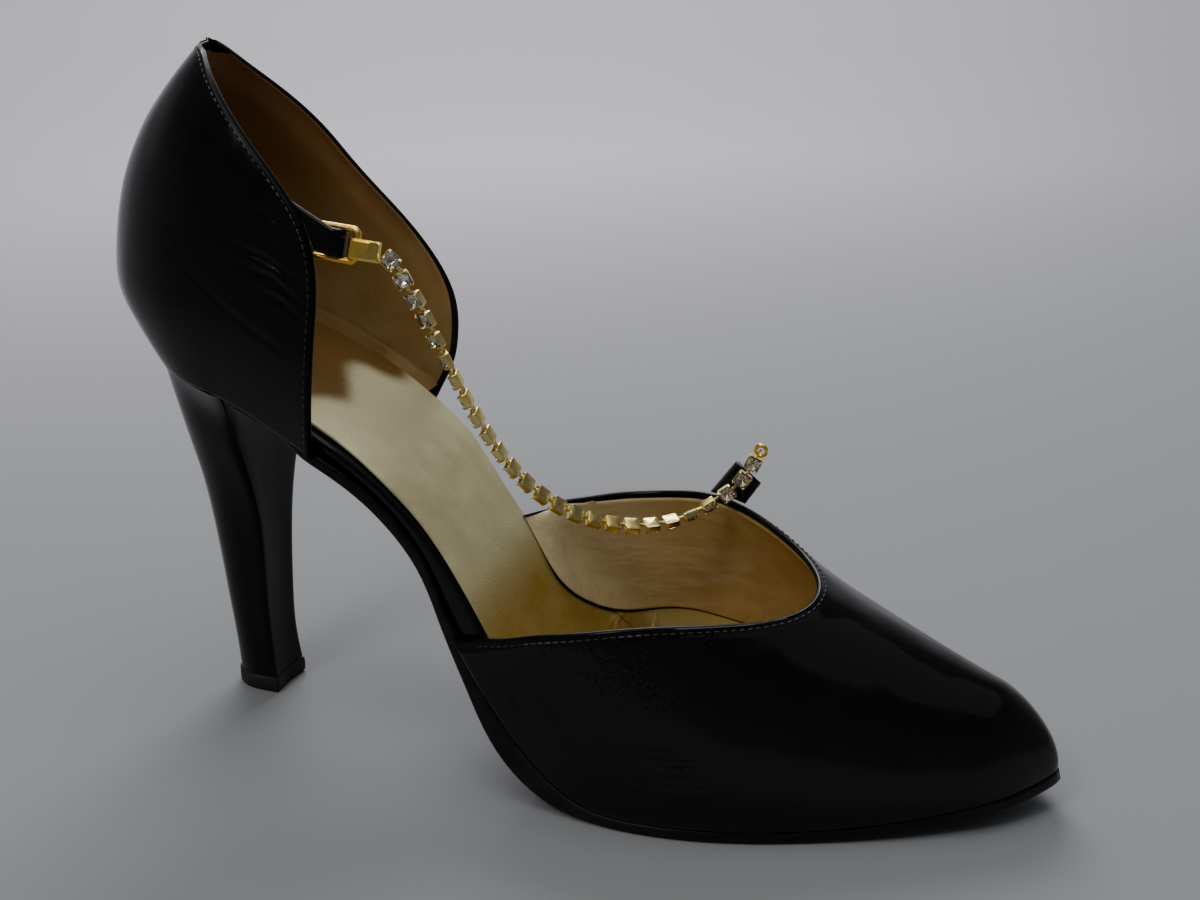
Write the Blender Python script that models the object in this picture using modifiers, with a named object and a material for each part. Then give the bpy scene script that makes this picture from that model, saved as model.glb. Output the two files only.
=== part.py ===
"""Two-piece evening pump: separate vamp and quarter on one sole, a covered high heel and a chain strap.

Sizes are in millimetres. X runs from heel to toe, Y towards the inner side of the foot, Z up from the floor.
The tables are given from the front of the heel tip, and ORIGIN moves the shoe to the middle of its own box.
"""
import bpy
import bmesh
import numpy as np

MM = 0.001
GAP = 0.3

# Middle of the shoe's own box in the tables' frame
ORIGIN = (72.8, 2.85, 0.0)

# Layers under the foot, from the floor up
OUTSOLE_THICK = 2.6
INSOLE_THICK = 2.8
SOCK_THICK = 0.8
INSOLE_INSET = 0.4
SOCK_INSET = 1.6

# How far past the last's toe the outsole reaches, and how far short of it the two upper layers stop
OUTSOLE_TOE = 2.0
INSOLE_TOE = -2.0
SOCK_TOE = -8.0

# Walls of the upper, and how far its outer face stands outside the last
VAMP_THICK = 1.5
QUARTER_THICK = 1.6
WALL_OUT = 1.9

# Ends of the last in plan, and where their round ends begin
HEEL_END = -18.6
HEEL_ROUND = 3.0
TOE_END = 174.2
TOE_ROUND = 162.5

# Sections along each layer, and rows and columns of the upper's two walls
OUTSOLE_SECTIONS = 36
LAYER_SECTIONS = 46
VAMP_MESH = (22, 37)
QUARTER_MESH = (19, 37)
HEEL_COLUMNS = 12
TOE_CROWD = 1.8
BACK_CROWD = 1.6
SLOPE_STEP = 0.05


def table(columns, rows):
    """A table as one array for each named column."""
    return dict(zip(columns.split(), np.array(rows, float).T))


# The last's bottom: feather line height, half widths each side, and the outsole's edge past the last
LAST = table("x feather lateral medial edge", (
    (-34.0, 84.6, 23.0, 23.0, 1.9),
    (-20.0, 84.3, 23.0, 23.0, 1.9),
    (-6.0, 82.2, 23.2, 23.2, 1.9),
    (6.0, 78.7, 23.4, 23.5, 1.9),
    (16.0, 73.9, 23.1, 23.5, 1.7),
    (26.0, 68.0, 22.3, 23.1, 1.0),
    (36.0, 60.2, 21.0, 22.3, 0.2),
    (46.0, 49.8, 20.6, 22.0, 0.2),
    (56.0, 36.9, 22.0, 23.2, 0.7),
    (64.0, 25.2, 24.6, 26.2, 1.2),
    (72.0, 14.6, 27.3, 30.2, 1.7),
    (80.0, 7.1, 29.3, 33.4, 1.9),
    (88.0, 3.7, 30.5, 35.3, 1.9),
    (96.0, 2.9, 30.8, 36.3, 1.9),
    (108.0, 2.9, 29.6, 36.3, 1.9),
    (120.0, 2.9, 26.5, 34.6, 1.9),
    (134.0, 3.3, 21.2, 30.4, 1.9),
    (148.0, 4.5, 15.0, 24.8, 1.9),
    (160.0, 6.2, 8.6, 19.8, 1.9),
    (170.0, 8.0, 2.4, 15.0, 1.9),
    (180.0, 10.2, -4.4, 10.0, 1.9),
))

# The vamp's ridge over the last: its place across the shoe, its height, and how full each side's section is
RIDGE = table("x across height outer_full inner_full", (
    (44.0, 1.0, 116.0, 0.12, 0.26),
    (70.0, 2.0, 91.0, 0.12, 0.26),
    (96.0, 3.0, 66.5, 0.12, 0.26),
    (110.0, 3.4, 54.4, 0.12, 0.26),
    (124.0, 3.8, 44.2, 0.12, 0.20),
    (138.0, 4.6, 37.2, 0.09, 0.12),
    (152.0, 5.4, 30.8, 0.05, 0.06),
    (164.0, 6.0, 25.9, 0.02, 0.02),
    (180.0, 6.4, 21.5, 0.00, 0.00),
))

# The vamp's top edge, by the angle round the section from the outer feather edge to the inner one
VAMP_TOPLINE = table("angle x", (
    (0.0, 54.0),
    (6.0, 62.6),
    (12.0, 67.4),
    (23.0, 77.0),
    (34.0, 90.2),
    (46.0, 105.0),
    (57.0, 115.5),
    (66.0, 121.4),
    (75.0, 124.7),
    (85.0, 125.8),
    (95.0, 124.7),
    (105.0, 121.3),
    (114.0, 115.6),
    (122.0, 107.2),
    (130.0, 98.0),
    (140.0, 87.0),
    (152.0, 73.8),
    (162.0, 64.8),
    (172.0, 57.6),
    (180.0, 49.0),
))

# The quarter by height over the feather line: back, half width, length of the round back, and front edges
QUARTER = table("rise back half round outer_front inner_front", (
    (0.0, -20.5, 25.4, 23.5, 25.3, 28.6),
    (7.0, -27.1, 26.7, 29.5, 26.3, 31.0),
    (14.0, -30.8, 27.3, 32.5, 27.1, 33.2),
    (21.0, -31.0, 27.0, 33.0, 27.7, 34.4),
    (28.0, -30.0, 26.2, 33.0, 28.1, 34.7),
    (34.0, -28.7, 25.2, 33.0, 28.4, 32.4),
    (39.0, -27.0, 24.2, 32.5, 28.2, 25.5),
    (44.0, -24.7, 23.0, 32.0, 27.1, 15.0),
    (49.0, -21.9, 21.6, 31.0, 23.6, 8.0),
    (55.0, -17.7, 19.3, 30.0, 13.4, 0.8),
    (61.0, -13.0, 16.4, 28.0, 3.3, -5.6),
    (66.0, -8.8, 13.2, 26.0, -4.2, -8.2),
))

# The heel's sections from tip to seat: back and front edges, and half width
HEEL = table("back_x back_z front_x front_z half", (
    (-12.6, 4.1, -0.6, 4.1, 6.0),
    (-13.2, 12.0, -1.4, 12.0, 6.0),
    (-14.2, 22.0, -1.7, 22.0, 6.3),
    (-15.5, 34.0, -1.4, 33.0, 6.8),
    (-16.9, 46.0, -1.0, 44.5, 8.0),
    (-18.2, 58.0, -0.8, 55.0, 11.2),
    (-19.2, 69.0, -0.2, 65.0, 15.4),
    (-20.0, 78.0, 2.0, 73.0, 20.3),
))
HEEL_FRONT = 5.0
HEEL_ROUND_SHARE = 0.62
TOP_PIECE_HEIGHT = 3.8

# The strap's fastening, in a frame of its own: X along the strap, Y up, Z outwards
FASTENING_PLACE = (33.5, -20.0, 113.2)
FASTENING_TURN = (75.0, 4.5, 0.0)
BUCKLE_MIDDLE = (-2.6, -0.8)
BUCKLE_WIDE = 9.6
BUCKLE_HIGH = 6.4
BUCKLE_CORNER = 1.4
BUCKLE_WIRE = 1.2
WINDOW_CORNER = 0.3
BUCKLE_EYE = 0.85

# The leather tab that holds the buckle's bar: its base along the quarter's edge, and half width at the bar
TAB_BASE = ((-5.9, -2.6), (-8.4, 1.9), (-11.9, 5.6))
TAB_HALF = 2.2
TAB_THICK = 1.1
TAB_WRAP = 240.0

# The metal strip folded round the buckle's front bar, which grips the chain
CLASP_ACROSS = -1.4
CLASP_HALF = 1.8
CLASP_LONG = 5.1
CLASP_THICK = 0.5

# The chain's way from the clasp, hanging across the foot, to the tab on the inner side
CHAIN_ROUTE = table("x y z", (
    (40.0, -20.4, 111.3),
    (42.6, -20.3, 110.2),
    (44.4, -18.9, 106.4),
    (46.6, -16.9, 100.6),
    (48.8, -15.2, 94.4),
    (51.0, -13.5, 88.1),
    (53.3, -11.8, 81.7),
    (55.8, -9.9, 75.4),
    (58.5, -7.7, 69.3),
    (61.5, -5.3, 63.6),
    (65.0, -2.4, 58.5),
    (69.0, 1.1, 54.1),
    (73.4, 5.0, 50.6),
    (78.1, 9.1, 48.1),
    (83.1, 13.2, 46.7),
    (88.2, 17.3, 46.6),
    (93.3, 20.9, 48.0),
    (98.3, 23.9, 51.1),
    (102.6, 25.5, 55.2),
    (105.4, 25.6, 60.0),
))
CUP_COUNT = 26
CUP_RADIUS = 1.9
CUP_LONG = 3.5
CUP_PITCH = 4.69
LINK_RADIUS = 0.6
LINK_SLOPE = 0.6
CHAIN_LEAD = 0.9

# The tab that stands on the vamp's inner top edge, by the section angles of its foot, and its top corners
VAMP_TAB_ANGLES = (132.4, 125.5)
VAMP_TAB_TOP = ((101.3, 29.3, 58.6), (106.0, 29.3, 54.7))
VAMP_TAB_THICK = 1.3

# The small ring on the chain's last cup
RING_RADIUS = 1.2
RING_WIRE = 0.45


def spline(knots, values, at):
    """Natural cubic spline through the rows of a table."""
    step = np.diff(knots)
    rise = np.diff(values) / step
    system = np.eye(len(knots))
    right = np.zeros(len(knots))
    for row in range(1, len(knots) - 1):
        system[row, row - 1:row + 2] = step[row - 1], 2 * (step[row - 1] + step[row]), step[row]
        right[row] = 6 * (rise[row] - rise[row - 1])
    bend = np.linalg.solve(system, right)
    at = np.asarray(at, float)
    k = np.clip(np.searchsorted(knots, at) - 1, 0, len(step) - 1)
    a = (knots[k + 1] - at) / step[k]
    b = (at - knots[k]) / step[k]
    curve = (a ** 3 - a) * bend[k] + (b ** 3 - b) * bend[k + 1]
    return a * values[k] + b * values[k + 1] + curve * step[k] ** 2 / 6


def feather(x):
    """Height of the feather line, where upper and sole meet; under the ball the sole lies flat."""
    return np.maximum(spline(LAST["x"], LAST["feather"], x), OUTSOLE_THICK + GAP)


def feather_normal(x):
    """The upward normal of the feather line, as its X and Z parts."""
    slope = (feather(x + SLOPE_STEP) - feather(x - SLOPE_STEP)) / (2 * SLOPE_STEP)
    length = np.sqrt(1 + slope ** 2)
    return -slope / length, 1 / length


def round_end(x, start, end):
    """A quarter ellipse's half width, from 1 at start to 0 at end."""
    share = np.clip((x - start) / (end - start), 0, 1)
    return np.sqrt(1 - share ** 2)


def outline(x, out):
    """Outer and inner edge in plan of the last's outline, moved out by a margin."""
    outer = spline(LAST["x"], LAST["lateral"], x)
    inner = spline(LAST["x"], LAST["medial"], x)
    ends = round_end(x, HEEL_ROUND, HEEL_END - out) * round_end(x, TOE_ROUND, TOE_END + out)
    half = (0.5 * (outer + inner) + out) * ends
    middle = 0.5 * (inner - outer)
    return middle - half, middle + half


def stations(start, stop, count, crowd_start, crowd_stop):
    """Places from start to stop, crowded towards the ends that are round."""
    share = np.linspace(0, 1, count)
    if crowd_start and crowd_stop:
        share = 0.5 - 0.5 * np.cos(np.pi * share)
    elif crowd_start:
        share = 1 - np.cos(0.5 * np.pi * share)
    elif crowd_stop:
        share = np.sin(0.5 * np.pi * share)
    return start + (stop - start) * share


def layer(x, out, lift, columns):
    """A sheet over the last's bottom: its outline moved out by a margin, lifted off the feather line."""
    outer, inner = outline(x, out)
    across = np.linspace(0, 1, columns)
    y = outer[:, None] + (inner - outer)[:, None] * across
    normal_x, normal_z = feather_normal(x)
    grid = np.empty(y.shape + (3,))
    grid[..., 0] = (x + normal_x * lift)[:, None]
    grid[..., 1] = y
    grid[..., 2] = (feather(x) + normal_z * lift)[:, None]
    return grid


def vamp_surface(x, angle):
    """The vamp's outer face: a full half ellipse from feather edge over the ridge to feather edge."""
    outer, inner = outline(x, WALL_OUT)
    across = spline(RIDGE["x"], RIDGE["across"], x)
    top = spline(RIDGE["x"], RIDGE["height"], x)
    foot = feather(x)
    cos, sin = np.cos(angle), np.sin(angle)
    outer_full, inner_full = (spline(RIDGE["x"], RIDGE[side], x) for side in ("outer_full", "inner_full"))
    full = np.where(cos > 0, outer_full, inner_full)
    reach = np.where(cos > 0, across - outer, inner - across)
    y = across - reach * cos * (1 + full * sin ** 2)
    z = foot + (top - foot) * round_end(x, TOE_ROUND, TOE_END + WALL_OUT) * sin
    return np.stack([x, y, z], -1)


def vamp_grid(rows, columns):
    """The vamp's outer face between its top edge and the toe, crowded at the toe."""
    angle = np.radians(np.linspace(0, 180, columns))[None, :]
    start = spline(VAMP_TOPLINE["angle"], VAMP_TOPLINE["x"], np.degrees(angle))
    left = (1 - np.linspace(0, 1, rows)[:, None]) ** TOE_CROWD
    end = TOE_END + WALL_OUT
    x = end - (end - start) * left
    middle = 0.5 * sum(outline(np.array([end]), WALL_OUT))
    grid = vamp_surface(x, np.broadcast_to(angle, x.shape))
    grid[-1] = (end, middle[0], feather(end))
    return grid


def quarter_grid(rows, columns):
    """The quarter's outer face: U-shaped levels over the seat, from outer front to inner front."""
    rise = np.linspace(0, QUARTER["rise"][-1], rows)[:, None]
    around = np.linspace(-1, 1, columns)[None, :]
    value = {name: spline(QUARTER["rise"], column, rise) for name, column in QUARTER.items()}
    front = np.where(around < 0, value["outer_front"], value["inner_front"])
    along = np.abs(around)
    share = along ** 2 * (BACK_CROWD + (1 - BACK_CROWD) * along ** 2)
    x = value["back"] + (front - value["back"]) * share
    depth = np.clip((x - value["back"]) / value["round"], 0, 1)
    side = value["half"] * np.sqrt(1 - (1 - depth) ** 2)
    return np.stack([x, np.sign(around) * side, feather(x) + rise], -1)


def heel_rings(count):
    """The heel's sections, each round at the back and flat at the breast, the last one on the seat."""
    share = np.linspace(0, 1, count) ** 2
    rings = []
    for back_x, back_z, front_x, front_z, half in zip(*HEEL.values()):
        x = back_x + (front_x - back_x) * share
        z = back_z + (front_z - back_z) * share
        y = half * np.sqrt(1 - (1 - np.clip(share / HEEL_ROUND_SHARE, 0, 1)) ** 2)
        rings.append(np.stack([x, y, z], -1))
    back = HEEL_END - WALL_OUT
    x = back + (HEEL_FRONT - back) * share
    outer, inner = outline(x, WALL_OUT)
    normal_x, normal_z = feather_normal(x)
    half = 0.5 * (inner - outer)
    for drop in (OUTSOLE_THICK + GAP, GAP):
        rings.append(np.stack([x - normal_x * drop, half, feather(x) - normal_z * drop], -1))
    return np.array(rings)


def material(name, colour, roughness, metallic=0.0):
    """A plain finish for one sub-part."""
    finish = bpy.data.materials.new(name)
    finish.use_nodes = True
    shader = finish.node_tree.nodes["Principled BSDF"]
    shader.inputs["Base Color"].default_value = (*colour, 1.0)
    shader.inputs["Roughness"].default_value = roughness
    shader.inputs["Metallic"].default_value = metallic
    return finish


def bent_strip(x, z, across):
    """A strip with one profile in X and Z, carried across the places in Y."""
    profile = np.stack([x, np.zeros_like(x), z], -1)
    return profile[:, None] + np.array(across)[None, :, None] * (0, 1, 0)


def loop_points(wide, high, corner, middle):
    """A flat rectangle with rounded corners, three points to a corner."""
    turn = np.radians([90 * side + step for side in range(4) for step in (0, 45, 90)])
    quarter_turn = np.radians([90 * side + 45 for side in range(4) for step in range(3)])
    reach = np.sign(np.stack([np.cos(quarter_turn), np.sin(quarter_turn)], -1))
    bend = corner * np.stack([np.cos(turn), np.sin(turn)], -1)
    return middle + reach * (wide / 2 - corner, high / 2 - corner) + bend


def chain_points():
    """The chain's points along its route, three for each cup, with the radius at each."""
    route = np.stack([CHAIN_ROUTE[axis] for axis in "xyz"], -1)
    along = np.concatenate([[0], np.cumsum(np.linalg.norm(np.diff(route, axis=0), axis=1))])
    places, radii = [0.0], [LINK_RADIUS]
    for cup in range(CUP_COUNT):
        start = CHAIN_LEAD + cup * CUP_PITCH
        places += [start, start + LINK_SLOPE, start + LINK_SLOPE + CUP_LONG]
        radii += [LINK_RADIUS, CUP_RADIUS, CUP_RADIUS]
    points = np.stack([spline(along, route[:, axis], places) for axis in range(3)], -1)
    return points, radii


def vamp_tab_grid():
    """A flat tab from just over the vamp's inner top edge to its two top corners."""
    angle = np.linspace(*VAMP_TAB_ANGLES, 4)
    foot = vamp_surface(spline(VAMP_TOPLINE["angle"], VAMP_TOPLINE["x"], angle), np.radians(angle))
    top = np.linspace(*VAMP_TAB_TOP, 4)
    rise = (top - foot) / np.linalg.norm(top - foot, axis=1)[:, None]
    return np.stack([foot + rise * GAP, top])


def add_piece(name, bm, finish, parent=None):
    """Puts a finished mesh into the shoe's collection, in metres."""
    bmesh.ops.remove_doubles(bm, verts=bm.verts, dist=0.001)
    bmesh.ops.scale(bm, vec=(MM, MM, MM), verts=bm.verts)
    mesh = bpy.data.meshes.new(name)
    bm.to_mesh(mesh)
    bm.free()
    mesh.shade_smooth()
    mesh.set_sharp_from_angle(angle=0.6)
    mesh.materials.append(finish)
    piece = bpy.data.objects.new(name, mesh)
    SHOE.objects.link(piece)
    piece.parent = parent or CENTRE
    return piece


def fill_grid(bm, grid):
    """Adds a grid of points to a mesh as four-sided faces."""
    rows, columns = grid.shape[:2]
    verts = [[bm.verts.new(point) for point in row] for row in grid]
    for i in range(rows - 1):
        for j in range(columns - 1):
            bm.faces.new((verts[i][j], verts[i + 1][j], verts[i + 1][j + 1], verts[i][j + 1]))


def add_sheet(name, grid, thick, finish, parent=None):
    """An open surface given its thickness on the side away from its normals."""
    bm = bmesh.new()
    fill_grid(bm, grid)
    piece = add_piece(name, bm, finish, parent)
    wall = piece.modifiers.new("thickness", "SOLIDIFY")
    wall.thickness = thick * MM
    wall.offset = -1.0
    wall.use_even_offset = True
    return piece


def add_loft(name, half_rings, finish):
    """A closed loft of sections that are mirrored across Y, with its two ends capped by strips."""
    bm = bmesh.new()
    mirrored = half_rings * (1, -1, 1)
    fill_grid(bm, half_rings)
    fill_grid(bm, mirrored[::-1])
    breast = np.stack([mirrored[:, -1], half_rings[:, -1]], 1)
    fill_grid(bm, breast[::-1])
    for ring, flip in ((0, 1), (-1, -1)):
        fill_grid(bm, np.stack([half_rings[ring], mirrored[ring]], 1)[::flip])
    add_piece(name, bm, finish)


def add_curve(name, lines, finish, parent, closed):
    """A curve object of straight runs between points in millimetres, each with its own radius."""
    curve = bpy.data.curves.new(name, "CURVE")
    for points, radii in lines:
        line = curve.splines.new("POLY")
        line.points.add(len(points) - 1)
        line.use_cyclic_u = closed
        for knot, point, radius in zip(line.points, points, radii):
            knot.co = (*np.pad(point * MM, (0, 3 - len(point))), 1.0)
            knot.radius = radius
    curve.materials.append(finish)
    piece = bpy.data.objects.new(name, curve)
    SHOE.objects.link(piece)
    piece.parent = parent
    return piece


def round_wire(piece, radius):
    """Turns a curve object into a wire or tube with filled ends."""
    piece.data.dimensions = "3D"
    piece.data.bevel_depth = radius * MM
    piece.data.bevel_resolution = 2
    piece.data.use_fill_caps = True


def add_buckle(name, finish, parent):
    """A frame with a bar up its middle: one outline with two windows, given a thickness."""
    middle = np.array(BUCKLE_MIDDLE)
    outside = loop_points(BUCKLE_WIDE + BUCKLE_WIRE, BUCKLE_HIGH + BUCKLE_WIRE, BUCKLE_CORNER, middle)
    window = (BUCKLE_WIDE / 2 - BUCKLE_WIRE, BUCKLE_HIGH - BUCKLE_WIRE, WINDOW_CORNER)
    shift = np.array((BUCKLE_WIDE / 4, 0))
    loops = [outside, loop_points(*window, middle - shift), loop_points(*window, middle + shift)]
    frame = add_curve(name, [(loop, np.ones(len(loop))) for loop in loops], finish, parent, True)
    frame.data.dimensions = "2D"
    frame.data.fill_mode = "BOTH"
    frame.data.extrude = BUCKLE_WIRE / 2 * MM


for old in list(bpy.data.objects):
    bpy.data.objects.remove(old, do_unlink=True)
SHOE = bpy.data.collections.new("pump_shoe")
bpy.context.scene.collection.children.link(SHOE)
CENTRE = bpy.data.objects.new("shoe_centre", None)
SHOE.objects.link(CENTRE)
CENTRE.location = [-value * MM for value in ORIGIN]
FASTENING = bpy.data.objects.new("strap_fastening", None)
SHOE.objects.link(FASTENING)
FASTENING.parent = CENTRE
FASTENING.location = [value * MM for value in FASTENING_PLACE]
FASTENING.rotation_euler = np.radians(FASTENING_TURN)

BLACK_PATENT = (0.012, 0.012, 0.014)
patent = material("black_patent_leather", BLACK_PATENT, 0.12)
sole_edge = material("black_sole_leather", (0.02, 0.02, 0.02), 0.45)
gold_sock = material("pale_gold_leather", (0.55, 0.47, 0.25), 0.35, 0.6)
rubber = material("black_top_piece", (0.02, 0.02, 0.02), 0.6)
gilt = material("gold_metal", (0.80, 0.58, 0.24), 0.25, 1.0)
chain_gilt = material("stone_set_chain", (0.72, 0.62, 0.40), 0.25, 1.0)

sole_x = stations(HEEL_FRONT + GAP, TOE_END + OUTSOLE_TOE, OUTSOLE_SECTIONS, False, True)
sole_edge_out = spline(LAST["x"], LAST["edge"], sole_x)
add_sheet("outsole", layer(sole_x, sole_edge_out, -GAP, 7), OUTSOLE_THICK, sole_edge)

insole_x = stations(HEEL_END + INSOLE_INSET, TOE_END + INSOLE_TOE, LAYER_SECTIONS, True, True)
add_sheet("insole", layer(insole_x, -INSOLE_INSET, INSOLE_THICK, 5), INSOLE_THICK, patent)

sock_x = stations(HEEL_END + SOCK_INSET, TOE_END + SOCK_TOE, LAYER_SECTIONS, True, True)
sock_top = INSOLE_THICK + GAP + SOCK_THICK
add_sheet("sock", layer(sock_x, -SOCK_INSET, sock_top, 5), SOCK_THICK, gold_sock)

add_sheet("vamp", vamp_grid(*VAMP_MESH), VAMP_THICK, patent)
add_sheet("quarter", quarter_grid(*QUARTER_MESH), QUARTER_THICK, patent)
add_loft("heel", heel_rings(HEEL_COLUMNS), patent)
tip = heel_rings(HEEL_COLUMNS)[:1] * (1, 1, 0)
add_loft("top_piece", np.concatenate([tip, tip + (0, 0, TOP_PIECE_HEIGHT)]), rubber)

add_buckle("buckle", gilt, FASTENING)

bar_x, bar_y = BUCKLE_MIDDLE
wrap = np.radians(np.linspace(90, 90 - TAB_WRAP, 10))
tab_radius = BUCKLE_EYE + GAP + TAB_THICK
eye_y = bar_y + TAB_HALF * np.linspace(-1, 1, len(TAB_BASE))
eye = bent_strip(bar_x + tab_radius * np.cos(wrap), tab_radius * np.sin(wrap), eye_y)
base = np.array([[(*corner, tab_radius) for corner in TAB_BASE]])
add_sheet("buckle_tab", np.concatenate([base, eye]), TAB_THICK, patent, FASTENING)

front_x = bar_x + BUCKLE_WIDE / 2
fold = np.radians(np.linspace(270, 90, 9))
clasp_radius = BUCKLE_EYE + GAP + CLASP_THICK
leg = [front_x + CLASP_LONG]
clasp_x = np.concatenate([leg, front_x + clasp_radius * np.cos(fold), leg])
clasp_z = clasp_radius * np.concatenate([[-1], np.sin(fold), [1]])
clasp_y = (CLASP_ACROSS - CLASP_HALF, CLASP_ACROSS + CLASP_HALF)
add_sheet("chain_clasp", bent_strip(clasp_x, clasp_z, clasp_y), CLASP_THICK, gilt, FASTENING)

chain_line, chain_radii = chain_points()
chain = add_curve("rhinestone_chain", [(chain_line, chain_radii)], chain_gilt, CENTRE, False)
round_wire(chain, 1.0)

add_sheet("vamp_tab", vamp_tab_grid(), VAMP_TAB_THICK, patent)

heading = chain_line[-1] - chain_line[-2]
heading = heading / np.linalg.norm(heading)
ring_line = loop_points(2 * RING_RADIUS, 2 * RING_RADIUS, RING_RADIUS, np.zeros(2))
ring = add_curve("end_ring", [(ring_line, np.ones(len(ring_line)))], gilt, CENTRE, True)
round_wire(ring, RING_WIRE)
ring.location = (chain_line[-1] + heading * (RING_RADIUS + RING_WIRE + GAP)) * MM
ring.rotation_euler = (np.pi / 2, 0, 0)
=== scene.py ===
# %% [markdown]
# A pump in black patent leather stands on a pale floor. Its vamp and its quarter are two
# separate cups on one high heeled sole, and a chain of set stones hangs between them.
# The imported model is loaded first. It is the frame that every piece below is fitted to.

# %% Load the imported frame
import math
import bmesh
import bpy
import numpy as np
from mathutils import Matrix


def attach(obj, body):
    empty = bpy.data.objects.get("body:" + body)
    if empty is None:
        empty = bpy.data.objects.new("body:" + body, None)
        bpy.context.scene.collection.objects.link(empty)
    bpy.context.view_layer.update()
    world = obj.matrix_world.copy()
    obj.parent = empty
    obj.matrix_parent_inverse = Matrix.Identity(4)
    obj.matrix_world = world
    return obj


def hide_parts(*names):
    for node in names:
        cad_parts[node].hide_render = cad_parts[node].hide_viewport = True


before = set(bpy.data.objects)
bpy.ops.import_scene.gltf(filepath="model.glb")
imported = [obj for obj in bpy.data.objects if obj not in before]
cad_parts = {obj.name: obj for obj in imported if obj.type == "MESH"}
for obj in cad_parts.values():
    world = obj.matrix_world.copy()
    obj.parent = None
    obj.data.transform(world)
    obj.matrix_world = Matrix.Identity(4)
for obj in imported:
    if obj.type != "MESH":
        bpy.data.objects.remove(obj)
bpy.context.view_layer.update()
print("nodes:", sorted(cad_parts))

# %% [markdown]
# Every size below is in millimetres, measured from the front of the heel tip on the floor,
# with the toe along +X and the outer side of the foot along -Y. One function takes such
# points to metres in the model's own frame, so no object ever needs moving.

# %% Shoe millimetres to scene metres
MM = 0.001
ORIGIN = np.array([72.8, 2.85, 0.0])


def place(points):
    """Scene metres of points in shoe millimetres: less the model's origin, times a thousandth."""
    return (np.asarray(points, float) - ORIGIN) * MM


# %% [markdown]
# The camera looks a little down on the outer side and from in front. A camera's own axes
# are right, up and back, and as columns of its matrix they turn it without any guesswork.

# %% Camera
VIEW_TURN, VIEW_RISE = math.radians(20.0), math.radians(19.5)
VIEW_PLACE = (179.55, -276.36, 172.62)

camera = bpy.data.objects.new("camera", bpy.data.cameras.new("camera"))
bpy.context.scene.collection.objects.link(camera)
camera.data.lens = 45.0
camera.data.sensor_width = 36.0
camera.data.clip_start = 0.01
back = np.array([math.sin(VIEW_TURN) * math.cos(VIEW_RISE), -math.cos(VIEW_TURN) * math.cos(VIEW_RISE),
                 math.sin(VIEW_RISE)])
right = np.array([math.cos(VIEW_TURN), math.sin(VIEW_TURN), 0.0])
turn = np.eye(4)
turn[:3, :3] = np.stack([right, np.cross(back, right), back], 1)
turn[:3, 3] = place(VIEW_PLACE)
camera.matrix_world = Matrix(turn.tolist())
bpy.context.scene.camera = camera
print("camera at", camera.location)

# %% [markdown]
# All pieces are grids of points worked out with numpy. Shapes could be pulled from cubes and
# cylinders by hand, but a formula on a grid keeps every size named and can be made finer at
# will. One helper puts such a grid into a mesh: each cell becomes a four-sided face, a closed
# grid joins its last row or column to its first, and points that fall together, as at a pole,
# are merged. Values that a material reads, such as how worn a place is, are stored with the
# points as attributes.

# %% Grids into meshes
def cell_corners(rows, columns, closed_rows=False, closed_columns=False):
    """Corner numbers of every cell of a grid, in the order that faces its outer side."""
    index = np.arange(rows * columns).reshape(rows, columns)
    if closed_rows:
        index = np.concatenate([index, index[:1]])
    if closed_columns:
        index = np.concatenate([index, index[:, :1]], 1)
    return np.stack([index[:-1, :-1], index[1:, :-1], index[1:, 1:], index[:-1, 1:]], -1).reshape(-1, 4)


def add_mesh(name, points, faces, finish, sharp=None, **values):
    """A mesh object at the origin from points in shoe millimetres and faces of point numbers."""
    mesh = bpy.data.meshes.new(name)
    mesh.from_pydata(place(points).reshape(-1, 3).tolist(), [], np.asarray(faces).tolist())
    for label, value in values.items():
        flat = np.ascontiguousarray(value, np.float32).ravel()
        mesh.attributes.new(label, "FLOAT", "POINT").data.foreach_set("value", flat)
    bm = bmesh.new()
    bm.from_mesh(mesh)
    bmesh.ops.remove_doubles(bm, verts=bm.verts, dist=1e-6)
    bm.to_mesh(mesh)
    bm.free()
    mesh.shade_smooth()
    if sharp is not None:
        mesh.set_sharp_from_angle(angle=math.radians(sharp))
    mesh.materials.append(finish)
    piece = bpy.data.objects.new(name, mesh)
    bpy.context.scene.collection.objects.link(piece)
    return piece


def add_grid(name, grid, finish, closed_rows=False, closed_columns=False, **more):
    """A mesh object from one grid of points."""
    faces = cell_corners(*grid.shape[:2], closed_rows, closed_columns)
    return add_mesh(name, grid.reshape(-1, 3), faces, finish, **more)


def join_grids(*grids):
    """Points and faces of several grids as one mesh; a grid may come with its two closed flags."""
    points, faces, start = [], [], 0
    for grid in grids:
        grid, closed = grid if isinstance(grid, tuple) else (grid, (False, False))
        points.append(grid.reshape(-1, 3))
        faces.append(cell_corners(*grid.shape[:2], *closed) + start)
        start += len(points[-1])
    return np.concatenate(points), np.concatenate(faces)


def unit(vectors):
    """Vectors made one long."""
    return vectors / np.maximum(np.linalg.norm(vectors, axis=-1, keepdims=True), 1e-9)


def grid_normals(grid):
    """Outward normals of a grid: the cross product of its travel down the rows and along them."""
    return unit(np.cross(np.gradient(grid, axis=0), np.gradient(grid, axis=1)))


def fit(piece, slot, *nodes):
    """Lets a finished piece ride on the shoe and stand for its nodes; the slot of its record finish is not
    used.
    """
    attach(piece, "root")
    if nodes:
        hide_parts(*nodes)
    print(piece.name, len(piece.data.polygons), "faces")


# %% [markdown]
# Finishes are node materials. Painted pictures could colour the leather too, but nodes need
# no files and stay sharp from close by. A few short helpers keep the node code readable:
# each adds one node, links what it is given and hands back the socket that comes next.

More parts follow.
